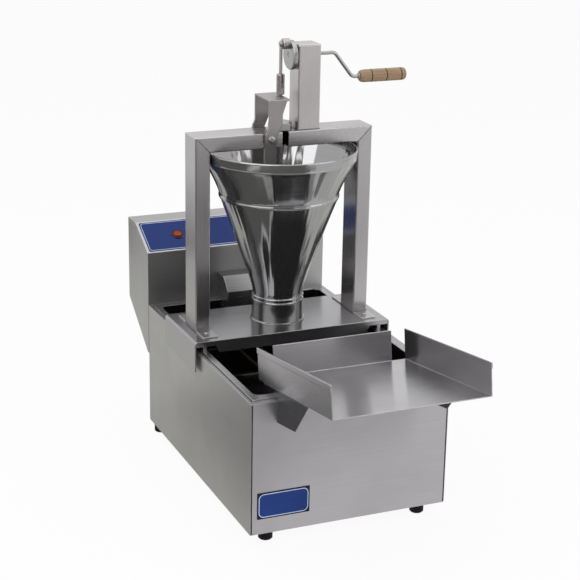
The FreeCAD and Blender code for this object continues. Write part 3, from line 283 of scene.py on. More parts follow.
def steel(name, look):
    # sheet or bar steel: fine grain, handling marks, and a painted highlight along the edges
    w = steelWearAndEdgeHighlight
    mat, tree, out = newMaterial(name + "Steel")
    shader = node(tree, "ShaderNodeBsdfPrincipled", Metallic=w["metallic"],
                  Anisotropic=look.get("smear", w["smear"]))
    coords = node(tree, "ShaderNodeTexCoord").outputs["Object"]
    normal = node(tree, "ShaderNodeNewGeometry").outputs["Normal"]
    split = node(tree, "ShaderNodeSeparateXYZ")
    tree.links.new(normal, split.inputs[0])
    upward = math2(tree, "ABSOLUTE", split.outputs["Z"], 0.0)
    topness = ranged(tree, upward, 0.0, 1.0, *steelSpans["up"])
    sideScale, topScale = grainScales[look["grain"]]
    both = node(tree, "ShaderNodeMix", data_type="FLOAT")
    tree.links.new(topness, both.inputs[0])
    tree.links.new(noise(tree, coords, 1.0, sideScale, detail=4.0, rough=0.6), both.inputs[2])
    tree.links.new(noise(tree, coords, 1.0, topScale, detail=4.0, rough=0.6), both.inputs[3])
    grain = both.outputs[0]
    tangent = acrossGrain(tree, normal, topness, look["grain"])
    tree.links.new(tangent, shader.inputs["Tangent"])
    cloud = noise(tree, coords, w["cloudScale"], detail=4.0, rough=0.55, distort=0.4)
    edge, softNormal = edgeMask(tree, look.get("edgeWidth", w["edgeWidth"]))
    tone = steelTone(tree, look, grain, cloud, edge)
    # painted shade inside the bath
    if name == "bath":
        tone = paintedBathShade(tree, coords, tone)
    tree.links.new(tone, shader.inputs["Base Color"])
    rough = steelRough(tree, coords, look, grain, cloud)
    tree.links.new(rough, shader.inputs["Roughness"])
    scratch = noise(tree, coords, 1.0, w["scratchScale"], detail=2.0, distort=0.3)
    scored = ranged(tree, scratch, 0.0, -w["scratchDeep"], *steelSpans["scratch"])
    bump = node(tree, "ShaderNodeBump", Strength=look.get("tooth", w["tooth"]),
                Distance=w["toothDeep"])
    tree.links.new(math2(tree, "ADD", grain, scored), bump.inputs["Height"])
    tree.links.new(softNormal, bump.inputs["Normal"])
    relief = bump.outputs["Normal"]
    if name == "polished":
        relief = rolledWaves(tree, coords, relief)
    tree.links.new(relief, shader.inputs["Normal"])
    tree.links.new(shader.outputs[0], out.inputs["Surface"])
    return mat


steels = {name: steel(name, look) for name, look in steelLooks.items()}


# rubber, plastic and enamel
paintLooks = {
    "footRubber": {"color": (0.005, 0.005, 0.006), "rough": 0.6, "grain": 900.0,
                   "toothDeep": 0.0002, "gloss": 0.15},
    "blackPlastic": {"color": (0.010, 0.010, 0.011), "rough": 0.38, "grain": 1500.0,
                     "toothDeep": 0.0001, "gloss": 0.35},
    "signalRing": {"color": (0.05, 0.004, 0.003), "rough": 0.16, "grain": 700.0,
                   "toothDeep": 0.00002, "gloss": 0.2},
    "signalRocker": {"color": (0.28, 0.032, 0.005), "rough": 0.24, "grain": 700.0,
                     "toothDeep": 0.00002, "gloss": 0.2},
}
# wear of the rubber, plastic and enamel, with a painted highlight along their edges
paintWearAndEdgeHighlight = {"edgeWidth": 0.0008, "edgeHighlight": 0.25, "edgeGain": 1.5, "edgeLift": 0.008,
             "cloudScale": 14.0, "cloudDark": 0.8, "roughLow": 0.05, "roughHigh": 0.08,
             "tooth": 0.25}


def plastic(name, look):
    w, color, rough = paintWearAndEdgeHighlight, look["color"], look["rough"]
    mat, tree, out = newMaterial(name)
    shader = node(tree, "ShaderNodeBsdfPrincipled", Metallic=0.0)
    shader.inputs["Specular IOR Level"].default_value = look["gloss"]
    coords = node(tree, "ShaderNodeTexCoord").outputs["Object"]
    fine = noise(tree, coords, look["grain"], detail=3.0, rough=0.6)
    cloud = noise(tree, coords, w["cloudScale"], detail=3.0, rough=0.5, distort=0.3)
    edge, softNormal = edgeMask(tree, w["edgeWidth"])
    tone = blendColor(tree, ranged(tree, cloud, 0.0, 1.0), shaded(color, w["cloudDark"]), color)
    # painted highlight: the edges are lightened
    shine = math2(tree, "MULTIPLY", edge, w["edgeHighlight"])
    tone = blendColor(tree, shine, tone, shaded(color, w["edgeGain"], w["edgeLift"]))
    tree.links.new(tone, shader.inputs["Base Color"])
    worn = ranged(tree, fine, rough - w["roughLow"], rough + w["roughHigh"])
    tree.links.new(worn, shader.inputs["Roughness"])
    bump = node(tree, "ShaderNodeBump", Strength=w["tooth"], Distance=look["toothDeep"])
    tree.links.new(fine, bump.inputs["Height"])
    tree.links.new(softNormal, bump.inputs["Normal"])
    tree.links.new(bump.outputs["Normal"], shader.inputs["Normal"])
    tree.links.new(shader.outputs[0], out.inputs["Surface"])
    return mat


paints = {name: plastic(name, look) for name, look in paintLooks.items()}


# finishes of the carried nodes: by their slot, or by their own name
slotLooks = {
    "casing_steel": "casing", "bath_steel": "bath", "frame_steel": "frame", "yoke_steel": "yoke",
    "polished_steel": "polished", "collar_steel": "collar", "tray_steel": "tray",
    "plated_steel": "plated", "bush_metal": "bush", "element_sheath": "element",
}
nodeLooks = {"front_panel": "front", "bridge_saddle": "bridge", "gantry_beam": "beam",
             "crank_column": "column", "column_cap": "column", "element_hood": "hood",
             "tray_brackets": "bracket"}
nodePaints = {"switch_bezel": "signalRing", "rocker_switch": "signalRocker"}


def dressNodes():
    slots = {s["node"]: s["material_slot"] for s in frame["record"]["subparts"]}
    for name, obj in nodes.items():
        slotName = slots[name]
        if name in nodePaints:
            mat = paints[nodePaints[name]]
        elif name in nodeLooks:
            mat = steels[nodeLooks[name]]
        elif slotName in slotLooks:
            mat = steels[slotLooks[slotName]]
        elif slotName == "foot_rubber":
            mat = paints["footRubber"]
        else:
            mat = paints["blackPlastic"]
        obj.data.materials.clear()
        obj.data.materials.append(mat)


dressNodes()
print("steel, rubber and plastic on the carried nodes")


# modelling helps
mergeGap = 0.000004       # points nearer than this become one
samePlace = 1e-7
levelNormal = 0.9         # a face whose normal rises more than this faces up


def pick(obj):
    bpy.ops.object.select_all(action="DESELECT")
    obj.select_set(True)
    bpy.context.view_layer.objects.active = obj


def editAll():
    bpy.ops.object.mode_set(mode="EDIT")
    bpy.ops.mesh.select_all(action="SELECT")


def leaveEdit():
    bpy.ops.object.mode_set(mode="OBJECT")


def choose(mesh, mode, fits):
    # in edit mode: leaves only the fitting faces or edges selected
    bpy.ops.mesh.select_mode(type=mode)
    bpy.ops.mesh.select_all(action="DESELECT")
    edit = bmesh.from_edit_mesh(mesh)
    for item in (edit.faces if mode == "FACE" else edit.edges):
        if fits(item):
            item.select_set(True)
    bmesh.update_edit_mesh(mesh)


def upright(edge):
    first, last = edge.verts
    apart = first.co - last.co
    return abs(apart.x) < samePlace and abs(apart.y) < samePlace


def facesUp(face):
    return face.normal.z > levelNormal


def giveMaterial(mesh, index, fits):
    # in edit mode: gives the fitting faces the material of this index
    edit = bmesh.from_edit_mesh(mesh)
    for face in edit.faces:
        if fits(face):
            face.material_index = index
    bmesh.update_edit_mesh(mesh)


def settle(obj, name, body, angle=30.0):
    # puts the place into the mesh, merges doubles and turns the faces outward
    pick(obj)
    bpy.ops.object.transform_apply(location=True, rotation=True, scale=True)
    editAll()
    bpy.ops.mesh.remove_doubles(threshold=mergeGap)
    bpy.ops.mesh.normals_make_consistent(inside=False)
    leaveEdit()
    bpy.ops.object.shade_smooth_by_angle(angle=math.radians(angle))
    obj.name = name
    obj.data.name = name
    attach(obj, body)
    return obj


def paint(obj, *mats):
    obj.data.materials.clear()
    for mat in mats:
        obj.data.materials.append(mat)


def spun(profile, segments, place, turn=(0, 0, 0)):
    # a turned piece: one ring drawn out and resized from point to point of (radius, height) in mm
    bpy.ops.object.select_all(action="DESELECT")
    radius, height = profile[0]
    bpy.ops.mesh.primitive_circle_add(vertices=segments, radius=radius * mm,
                                      location=(0, 0, height * mm))
    obj = bpy.context.object
    bpy.ops.object.transform_apply(location=True, rotation=False, scale=False)
    editAll()
    for nextRadius, nextHeight in profile[1:]:
        lift = (nextHeight - height) * mm
        bpy.ops.mesh.extrude_region_move(TRANSFORM_OT_translate={"value": (0, 0, lift)})
        share = nextRadius / radius
        bpy.ops.transform.resize(value=(share, share, 1), center_override=(0, 0, nextHeight * mm))
        radius, height = nextRadius, nextHeight
    leaveEdit()
    obj.location = place
    obj.rotation_euler = turn
    return obj


def closeEnds(obj):
    # fills the open rings of a turned piece and turns its faces outward
    pick(obj)
    editAll()
    bpy.ops.mesh.fill_holes(sides=0)
    bpy.ops.mesh.normals_make_consistent(inside=False)
    leaveEdit()


def block(size, place, turn=(0, 0, 0)):
    # a box of the given size in mm about its middle
    bpy.ops.object.select_all(action="DESELECT")
    bpy.ops.mesh.primitive_cube_add(size=1.0)
    obj = bpy.context.object
    obj.scale = [v * mm for v in size]
    bpy.ops.object.transform_apply(location=False, rotation=False, scale=True)
    obj.location = place
    obj.rotation_euler = turn
    return obj


def soften(obj, width, segments=2, angle=40.0):
    pick(obj)
    mod = obj.modifiers.new("soft", "BEVEL")
    mod.width = width * mm
    mod.segments = segments
    mod.limit_method = "ANGLE"
    mod.angle_limit = math.radians(angle)
    bpy.ops.object.modifier_apply(modifier=mod.name)


def cutWith(obj, cutter):
    pick(obj)
    mod = obj.modifiers.new("cut", "BOOLEAN")
    mod.operation = "DIFFERENCE"
    mod.object = cutter
    mod.solver = "EXACT"
    bpy.ops.object.modifier_apply(modifier=mod.name)
    bpy.data.objects.remove(cutter)


def roundShares(steps):
    return [i / steps for i in range(steps + 1)]


# hopper: radii and heights in mm; a pair is a step out and a height, or a step out and a step up
hopper = {
    "segments": 128, "wall": 1.0,
    "mouth": 243.5, "neckR": 41.4, "neckTop": 304.5, "neckTurn": ((0.0, 302.5), (0.2, 303.8)),
    "beads": (287.5, 294.0), "beadR": 1.5, "beadSteps": 6,
    "joint": 462.5, "jointR": 97.0, "flare": 1.08, "coneSteps": 14,
    "jointBead": 0.8, "jointBeadH": 6.4,
    "bandLow": 528.0, "bandTop": 544.0, "bandR": 127.2, "bandLean": 1.4,
    "upperFlare": 1.2, "upperSteps": 9, "coneStop": 1.0,
    "rimRoll": 2.0, "rimSteps": 8,
    # steps out and up: from the band's foot, from the rolled rim's middle, and inside them
    "bandFoot": ((-0.3, -0.3), (0.0, 0.6), (-0.25, 1.6), (-0.3, 2.4)),
    "bandHead": ((-0.3, -2.4), (-0.25, -1.4)),
    "rimInside": (0.8, -1.5), "bandInside": (-1.6, 2.5),
}


def coneLine(startR, endR, low, high, power, steps):
    return [(startR + (endR - startR) * share ** power, low + (high - low) * share)
            for share in roundShares(steps)]


def beadLine(radius, low, bead, height, steps):
    # half-round bead standing out of a wall
    return [(radius + bead * math.sin(math.pi * share), low + height * share)
            for share in roundShares(steps)]


def stepsFrom(radius, height, steps):
    return [(radius + out, height + rise) for out, rise in steps]


def makeHopperCone(h):
    cone = coneLine(h["neckR"], h["jointR"], h["neckTop"], h["joint"], h["flare"], h["coneSteps"])
    outer = [(h["neckR"], h["mouth"])]
    for low in h["beads"]:
        outer += beadLine(h["neckR"], low, h["beadR"], 2 * h["beadR"], h["beadSteps"])
    outer += stepsFrom(h["neckR"], 0.0, h["neckTurn"]) + cone[1:]
    inner = [(r - h["wall"], z) for r, z in reversed(cone)]
    inner += [(h["neckR"] - h["wall"], h["mouth"])]
    lower = spun(outer + inner + outer[:1], h["segments"], at(0, fillerY, 0))
    paint(lower, steels["polished"])
    settle(lower, "hopperCone", "filler_unit", angle=40)
    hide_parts("hopper_lower")


def makeHopperRing(h):
    start = h["jointR"] + h["jointBead"]
    footR = h["bandR"] - h["bandLean"]
    roll, rollZ = h["rimRoll"], h["bandTop"] - h["rimRoll"]
    rollR = h["bandR"] - roll
    bead = beadLine(start, h["joint"], h["jointBead"], h["jointBeadH"], h["beadSteps"])
    cone = coneLine(start, footR - h["jointBead"], h["joint"] + h["jointBeadH"],
                    h["bandLow"] - h["coneStop"], h["upperFlare"], h["upperSteps"])
    outer = bead[:-1] + cone
    outer += stepsFrom(footR, h["bandLow"], h["bandFoot"])
    outer += stepsFrom(h["bandR"], rollZ, h["bandHead"])
    outer += [(rollR + roll * math.cos(math.pi * s), rollZ + roll * math.sin(math.pi * s))
              for s in roundShares(h["rimSteps"])]
    inner = stepsFrom(rollR - roll, rollZ, (h["rimInside"],))
    inner += stepsFrom(footR, h["bandLow"], (h["bandInside"],))
    inner += [(r - h["wall"], z) for r, z in reversed(cone)]
    inner += [(h["jointR"] - h["wall"], h["joint"])]
    upper = spun(outer + inner + outer[:1], h["segments"], at(0, fillerY, 0))
    paint(upper, steels["polished"])
    settle(upper, "hopperRing", "filler_unit", angle=40)
    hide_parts("hopper_upper")


makeHopperCone(hopper)
makeHopperRing(hopper)
print("hopper spun")


# grip: sizes in mm; the shoulders are shares of the radius and heights from each end
gripSizes = {
    "start": 138.5, "length": 82.0, "radius": 10.5, "bore": 3.05, "recess": 6.0, "recessR": 5.8,
    "axisZ": 650.5, "segments": 64,
    "shoulder": ((0.62, 0.0), (0.76, 0.5), (0.86, 1.6), (0.945, 4.0), (0.985, 8.0)),
    "endShoulder": ((0.985, 4.5), (0.93, 2.2), (0.84, 0.8), (0.72, 0.0)),
    "rings": (0.235, 0.56, 0.885), "ringDepth": 0.7, "ringHalf": 0.9, "ringFlat": 0.35,
}
woodLook = {
    "pale": (0.38, 0.255, 0.158), "dark": (0.25, 0.16, 0.095), "pore": (0.16, 0.09, 0.045),
    "broadGrain": (14, 260, 260), "fineGrain": (60, 1900, 1900), "poreGrain": (90, 2600, 2600),
    "broadSpan": (0.35, 0.65), "fineSpan": (0.4, 0.7), "poreSpan": (0.66, 0.74),
    "fineShare": 0.35, "poreShare": 0.5,
    "burn": (0.055, 0.028, 0.015), "burnInner": 0.55, "burnOuter": 1.5,
    "gloss": 0.35, "rough": (0.42, 0.60), "tooth": 0.35, "toothDeep": 0.0002,
}


def gripLine(g):
    # outline from the crank's side to the free end
    r, length = g["radius"], g["length"]
    line = [(g["bore"], 0.0)] + [(r * share, rise) for share, rise in g["shoulder"]]
    for share in g["rings"]:
        middle = length * share
        half, flat = g["ringHalf"], g["ringHalf"] * g["ringFlat"]
        line += [(r, middle - half), (r - g["ringDepth"], middle - flat),
                 (r - g["ringDepth"], middle + flat), (r, middle + half)]
    line += [(r * share, length - back) for share, back in g["endShoulder"]]
    line += [(g["recessR"], length), (g["recessR"], length - g["recess"]),
             (g["bore"], length - g["recess"]), (g["bore"], 0.0)]
    return line


def woodMaterial(g, w):
    mat, tree, out = newMaterial("gripWood")
    shader = node(tree, "ShaderNodeBsdfPrincipled", Metallic=0.0)
    shader.inputs["Specular IOR Level"].default_value = w["gloss"]
    coords = node(tree, "ShaderNodeTexCoord").outputs["Object"]
    broad = noise(tree, coords, 1.0, w["broadGrain"], rough=0.6, distort=0.6)
    fine = noise(tree, coords, 1.0, w["fineGrain"], detail=4.0, rough=0.6)
    pores = noise(tree, coords, 1.0, w["poreGrain"], detail=2.0)
    streaks = ranged(tree, broad, 0.0, 1.0, *w["broadSpan"])
    tone = blendColor(tree, streaks, w["dark"], w["pale"])
    fibres = ranged(tree, fine, 0.0, w["fineShare"], *w["fineSpan"])
    tone = blendColor(tree, fibres, tone, w["dark"])
    pitted = ranged(tree, pores, 0.0, w["poreShare"], *w["poreSpan"])
    tone = blendColor(tree, pitted, tone, w["pore"])
    split = node(tree, "ShaderNodeSeparateXYZ")
    tree.links.new(coords, split.inputs[0])
    near, far = g["ringHalf"] * w["burnInner"] * mm, g["ringHalf"] * w["burnOuter"] * mm
    for share in g["rings"]:
        middle = (g["start"] + g["length"] * share) * mm + shiftX
        away = math2(tree, "ABSOLUTE", math2(tree, "SUBTRACT", split.outputs["X"], middle), 0.0)
        tone = blendColor(tree, ranged(tree, away, 1.0, 0.0, near, far), tone, w["burn"])
    tree.links.new(tone, shader.inputs["Base Color"])
    tree.links.new(ranged(tree, fine, *w["rough"]), shader.inputs["Roughness"])
    bump = node(tree, "ShaderNodeBump", Strength=w["tooth"], Distance=w["toothDeep"])
    tree.links.new(math2(tree, "ADD", fine, pores), bump.inputs["Height"])
    tree.links.new(bump.outputs["Normal"], shader.inputs["Normal"])
    tree.links.new(shader.outputs[0], out.inputs["Surface"])
    return mat


def makeGrip(g):
    grip = spun(gripLine(g), g["segments"], at(g["start"], fillerY, g["axisZ"]),
                (0, math.pi / 2, 0))
    paint(grip, woodMaterial(g, woodLook))
    settle(grip, "woodenGrip", "grip", angle=35)
    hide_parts("wooden_grip")


makeGrip(gripSizes)
print("grip turned")


# heating element: sizes in mm
element = {"radius": 4.0, "bend": 10.0, "sides": 24, "steps": 10, "innerX": 18.75, "outerX": 95.0,
           "tailY": 256.0, "riserY": 206.0, "riserZ": 253.0, "level": 112.2, "frontY": -165.0,
           "rearY": 218.0}


def bentTube(points, radius, bend, sides, steps):
    # a ring drawn along straight runs and spun round each corner; points in metres
    along = (points[1] - points[0]).normalized()
    bpy.ops.object.select_all(action="DESELECT")
    bpy.ops.mesh.primitive_circle_add(vertices=sides, radius=radius, fill_type="NGON",
                                      rotation=along.to_track_quat("Z", "Y").to_euler())
    obj = bpy.context.object
    obj.location = points[0]
    bpy.ops.object.transform_apply(location=True, rotation=True, scale=False)
    editAll()
    here = points[0]
    for before, corner, after in zip(points, points[1:], points[2:]):
        come, go = (corner - before).normalized(), (after - corner).normalized()
        turn = come.angle(go)
        back = bend * math.tan(turn / 2)
        arcStart = corner - come * back
        bpy.ops.mesh.extrude_region_move(TRANSFORM_OT_translate={"value": arcStart - here})
        axis = come.cross(go).normalized()
        middle = arcStart + axis.cross(come) * bend
        bpy.ops.mesh.spin(steps=steps, angle=turn, center=middle, axis=axis)
        here = corner + go * back
    bpy.ops.mesh.extrude_region_move(TRANSFORM_OT_translate={"value": points[-1] - here})
    leaveEdit()
    return obj


def makeElement(e):
    left = [(-e["innerX"], e["tailY"], e["riserZ"]), (-e["innerX"], e["riserY"], e["riserZ"]),
            (-e["innerX"], e["riserY"], e["level"]), (-e["innerX"], e["frontY"], e["level"]),
            (-e["outerX"], e["frontY"], e["level"]), (-e["outerX"], e["rearY"], e["level"])]
    right = [(-x, y, z) for x, y, z in reversed(left)]
    route = [at(*point) for point in left + right]
    tube = bentTube(route, e["radius"] * mm, e["bend"] * mm, e["sides"], e["steps"])
    paint(tube, steels["element"])
    settle(tube, "heatingTube", "machine", angle=40)
    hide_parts("heating_element")


makeElement(element)
print("heating tube bent")


# badge and panel: sizes in mm
badge = {"x": (-154.0, -68.3), "z": (45.8, 88.8), "frontY": -244.0, "thick": 0.7,
         "corner": 0.6, "fieldThick": 0.16, "fieldMargin": 2.2, "fieldCorner": 8.5,
         "fieldSink": 0.02, "line": 1.25}
panel = {"halfW": 160.5, "margin": 3.2, "thick": 0.3,
         "corner": 3.0, "fieldThick": 0.12, "fieldMargin": 2.0, "fieldCorner": 5.0,
         "fieldSink": 0.02, "line": 0.9,
         "slopeY": (244.0, 312.5), "slopeZ": (327.5, 364.5),
         "knobX": 85.0, "knobHole": 8.4, "switchX": -99.0, "switchHole": 11.0,
         "holeSides": 48, "holeDeep": 4.0}
enamelLooks = {
    "badgeBlue": {"color": (0.016, 0.050, 0.235), "rough": 0.34},
    "badgeNavy": {"color": (0.008, 0.014, 0.045), "rough": 0.34},
    "badgeWhite": {"color": (0.70, 0.80, 1.0), "rough": 0.30},
    "panelBlue": {"color": (0.006, 0.028, 0.165), "rough": 0.34},
}
enamel = {"grain": 1200.0, "toothDeep": 0.00001, "gloss": 0.15}
for enamelName, enamelLook in enamelLooks.items():
    paints[enamelName] = plastic(enamelName, {**enamel, **enamelLook})


def roundedPlate(width, height, thick, corner, mats, line=0.0, cornerSteps=8):
    # lies flat; the inset leaves a line of the second material round the field
    plate = block((width, height, thick), (0, 0, 0))
    paint(plate, *mats)
    mesh = plate.data
    pick(plate)
    bpy.ops.object.mode_set(mode="EDIT")
    choose(mesh, "EDGE", upright)
    bpy.ops.mesh.bevel(offset=corner * mm, segments=cornerSteps, affect="EDGES")
    if line:
        giveMaterial(mesh, 1, lambda face: True)
        choose(mesh, "FACE", facesUp)
        bpy.ops.mesh.inset(thickness=line * mm)
        giveMaterial(mesh, 0, lambda face: face.select)
    bpy.ops.mesh.select_mode(type="VERT")
    leaveEdit()
    return plate


def makeBadge(b):
    width, height = b["x"][1] - b["x"][0], b["z"][1] - b["z"][0]
    plate = roundedPlate(width, height, b["thick"], b["corner"], (paints["badgeNavy"],))
    field = roundedPlate(width - 2 * b["fieldMargin"], height - 2 * b["fieldMargin"],
                         b["fieldThick"], b["fieldCorner"],
                         (paints["badgeBlue"], paints["badgeWhite"]), b["line"])
    rise = {plate: b["thick"] / 2, field: b["thick"] + b["fieldThick"] / 2 - b["fieldSink"]}
    for piece, name in ((plate, "frontBadge"), (field, "badgeField")):
        piece.rotation_euler = (math.pi / 2, 0, 0)
        piece.location = at(sum(b["x"]) / 2, b["frontY"] - rise[piece], sum(b["z"]) / 2)
        settle(piece, name, "machine")


def onSlope(obj, p, x, lift):
    # turns a piece made flat about the origin onto the head's slope
    lean = math.atan2(p["slopeZ"][1] - p["slopeZ"][0], p["slopeY"][1] - p["slopeY"][0])
    pick(obj)
    bpy.ops.object.transform_apply(location=True, rotation=True, scale=True)
    obj.rotation_euler = (lean, 0, 0)
    off = Vector((0, -math.sin(lean), math.cos(lean))) * (lift * mm)
    obj.location = at(x, sum(p["slopeY"]) / 2, sum(p["slopeZ"]) / 2) + off


def makePanel(p):
    run = math.hypot(p["slopeY"][1] - p["slopeY"][0], p["slopeZ"][1] - p["slopeZ"][0])
    width, height = 2 * p["halfW"], run - 2 * p["margin"]
    label = roundedPlate(width, height, p["thick"], p["corner"], (paints["panelBlue"],))
    field = roundedPlate(width - 2 * p["fieldMargin"], height - 2 * p["fieldMargin"],
                         p["fieldThick"], p["fieldCorner"],
                         (paints["panelBlue"], paints["badgeWhite"]), p["line"])
    lifts = ((label, "panelLabel", p["thick"] / 2),
             (field, "panelField", p["thick"] + p["fieldThick"] / 2 - p["fieldSink"]))
    for piece, name, lift in lifts:
        for x, radius in ((p["knobX"], p["knobHole"]), (p["switchX"], p["switchHole"])):
            bpy.ops.object.select_all(action="DESELECT")
            bpy.ops.mesh.primitive_cylinder_add(vertices=p["holeSides"], radius=radius * mm,
                                                depth=p["holeDeep"] * mm, location=(x * mm, 0, 0))
            cutWith(piece, bpy.context.object)
        onSlope(piece, p, 0, lift)
        settle(piece, name, "machine")


makeBadge(badge)
makePanel(panel)
print("badge and panel label laid on")


# dial marks and the knob's line, in mm
dial = {"inner": 20.5, "long": 3.4, "wide": 0.8, "thick": 0.16, "marks": 11, "sweep": 270.0,
        "sink": 0.04,
        "lineWide": 1.5, "lineStart": 2.1, "lineEnd": 11.9, "lineLow": 15.35, "lineTop": 15.95,
        "lineSoft": 0.15}


def makeDial(d, p):
    sweep = math.radians(d["sweep"])
    middle = d["inner"] + d["long"] / 2
    mark = block((d["wide"], d["long"], d["thick"]), (0, middle * mm, 0))
    pick(mark)
    bpy.ops.object.transform_apply(location=True, rotation=False, scale=False)
    mark.rotation_euler = (0, 0, sweep / 2)
    bpy.ops.object.transform_apply(location=False, rotation=True, scale=False)
    editAll()
    bpy.ops.mesh.spin(steps=d["marks"] - 1, dupli=True, angle=-sweep, center=(0, 0, 0),
                      axis=(0, 0, 1))
    leaveEdit()
    onSlope(mark, p, p["knobX"], p["thick"] + p["fieldThick"] + d["thick"] / 2 - d["sink"])
    paint(mark, paints["badgeWhite"])
    settle(mark, "dialMarks", "machine")


def makeKnobLine(d, p):
    line = block((d["lineWide"], d["lineEnd"] - d["lineStart"], d["lineTop"] - d["lineLow"]),
                 (0, (d["lineStart"] + d["lineEnd"]) / 2 * mm, 0))
    soften(line, d["lineSoft"])
    onSlope(line, p, p["knobX"], (d["lineLow"] + d["lineTop"]) / 2)
    paint(line, paints["badgeWhite"])
    settle(line, "knobLine", "thermostat")


makeDial(dial, panel)
makeKnobLine(dial, panel)
print("dial marked")


# painted shade: dark strips stand for the shaded gaps at the joints beside the front panel
cornerShadow = {"x": 163.1, "wide": 1.9, "frontY": -243.9, "deep": 0.5, "z": (22.5, 232.8),
              "soft": 0.15}


def makeCornerShadows(c):
    for side, name in ((-1, "cornerShadowLeft"), (1, "cornerShadowRight")):
        strip = block((c["wide"], c["deep"], c["z"][1] - c["z"][0]), (0, 0, 0))
        soften(strip, c["soft"])
        strip.location = at(side * c["x"], c["frontY"], sum(c["z"]) / 2)
        # black, as painted shade in the joint
        paint(strip, paints["blackPlastic"])
        settle(strip, name, "machine")


# screws of the head's back cover; the dome is in shares of the radius and the height
coverScrew = {"places": [(x, z) for z in (228.0, 354.5) for x in (-155.0, 0.0, 155.0)],
              "faceY": 353.5, "radius": 3.4, "height": 2.0, "sides": 32, "tipR": 0.05,
              "dome": ((1.0, 0.0), (1.0, 0.35), (0.93, 0.62), (0.75, 0.85), (0.45, 0.97)),
              "slotW": 0.9, "slotDeep": 0.8, "slotShare": 0.62, "slotTurn": 0.3, "twist": 0.25}


def makeCoverScrews(c):
    r, height = c["radius"], c["height"]
    line = [(r * share, height * rise) for share, rise in c["dome"]] + [(c["tipR"], height)]
    slot = (2 * r * c["slotShare"], c["slotW"], 2 * c["slotDeep"])
    for index, (x, z) in enumerate(c["places"]):
        head = spun(line, c["sides"], (0, 0, 0))
        closeEnds(head)
        for turn in (c["slotTurn"], c["slotTurn"] + math.pi / 2):
            cutWith(head, block(slot, (0, 0, height * mm), (0, 0, turn)))
        head.rotation_euler = (-math.pi / 2, c["twist"] * index, 0)
        head.location = at(x, c["faceY"], z)
        paint(head, steels["plated"])
        settle(head, f"coverScrew{index + 1}", "machine", angle=35)


# weld beads across the gantry's mitred corners
seam = {"wide": 1.3, "proud": 0.25, "soft": 0.2, "outerX": 152.0, "innerX": 128.5,
        "outerZ": 572.3, "innerZ": 548.7, "frontY": 32.5, "rearY": 82.5}


def makeMitreSeams(s):
    for side, sideName in ((-1, "Left"), (1, "Right")):
        for y, faceName in ((s["frontY"], "Front"), (s["rearY"], "Rear")):
            outer = at(side * s["outerX"], y, s["outerZ"])
            inner = at(side * s["innerX"], y, s["innerZ"])
            run = inner - outer
            bead = block((run.length / mm, 2 * s["proud"], s["wide"]), (0, 0, 0))
            soften(bead, s["soft"])
            bead.rotation_euler = (0, math.atan2(-run.z, run.x), 0)
            bead.location = (outer + inner) / 2
            paint(bead, steels["weld"])
            settle(bead, f"mitreSeam{faceName}{sideName}", "filler_unit")


# welds round the feet of the column and the posts
fillet = {"leg": 1.7, "tuck": 0.5, "soft": 0.6, "softSteps": 3, "softAngle": 30.0,
          "feet": {"column": {"x": 42.5, "z": 573.0, "wide": 38.0, "deep": 38.0},
                   "leftFoot": {"x": -140.25, "z": 255.5, "wide": 25.0, "deep": 50.0},
                   "rightFoot": {"x": 140.25, "z": 255.5, "wide": 25.0, "deep": 50.0}}}


def makeFillets(f):
    leg = f["leg"]
    for name, foot in f["feet"].items():
        wide, deep = foot["wide"] - 2 * f["tuck"], foot["deep"] - 2 * f["tuck"]
        lowWide, lowDeep = wide + 2 * leg, deep + 2 * leg
        bead = block((lowWide, lowDeep, leg), (0, 0, 0))
        pick(bead)
        bpy.ops.object.mode_set(mode="EDIT")
        choose(bead.data, "FACE", facesUp)
        bpy.ops.transform.resize(value=(wide / lowWide, deep / lowDeep, 1),
                                 center_override=(0, 0, 0))
        bpy.ops.mesh.select_mode(type="VERT")
        leaveEdit()
        soften(bead, f["soft"], f["softSteps"], f["softAngle"])
        bead.location = at(foot["x"], fillerY, foot["z"] + leg / 2)
        paint(bead, steels["weld"])
        settle(bead, name + "Weld", "filler_unit", angle=40)


makeCornerShadows(cornerShadow)
makeCoverScrews(coverScrew)
makeMitreSeams(seam)
makeFillets(fillet)
print("screws and welds in")


# floor and surroundings, in metres
stage = {"floor": 12.0, "tone": (0.86, 0.86, 0.86), "white": 0.93, "ambient": 0.55}


def seenRays(tree):
    # 1 for rays from the camera, also mirrored ones; 0 for those that light the object
    path = node(tree, "ShaderNodeLightPath")
    seen = math2(tree, "MAXIMUM", path.outputs["Is Camera Ray"], path.outputs["Is Glossy Ray"])
    return math2(tree, "MAXIMUM", seen, path.outputs["Is Transmission Ray"])


def addFloor():
    bpy.ops.object.select_all(action="DESELECT")
    bpy.ops.mesh.primitive_plane_add(size=stage["floor"], location=(0, 0, 0))
    floor = bpy.context.object
    floor.name = "floor"
    mat, tree, out = newMaterial("paleFloor")
    pale = node(tree, "ShaderNodeBsdfDiffuse", Color=(*stage["tone"], 1.0))
    glow = node(tree, "ShaderNodeEmission", Color=(1, 1, 1, 1), Strength=1.0)
    mixer = node(tree, "ShaderNodeMixShader")
    tree.links.new(math2(tree, "MULTIPLY", seenRays(tree), stage["white"]), mixer.inputs[0])
    tree.links.new(pale.outputs[0], mixer.inputs[1])
    tree.links.new(glow.outputs[0], mixer.inputs[2])
    tree.links.new(mixer.outputs[0], out.inputs["Surface"])
    floor.data.materials.append(mat)


def addWorld():
    world = bpy.data.worlds.new("studio")
    bpy.context.scene.world = world
    world.use_nodes = True
    tree = world.node_tree
    tree.nodes.clear()
    out = node(tree, "ShaderNodeOutputWorld")
    back = node(tree, "ShaderNodeBackground", Color=(1, 1, 1, 1))
    strength = ranged(tree, seenRays(tree), stage["ambient"], 1.0, 0.0, 1.0)
    tree.links.new(strength, back.inputs["Strength"])
    tree.links.new(back.outputs[0], out.inputs["Surface"])


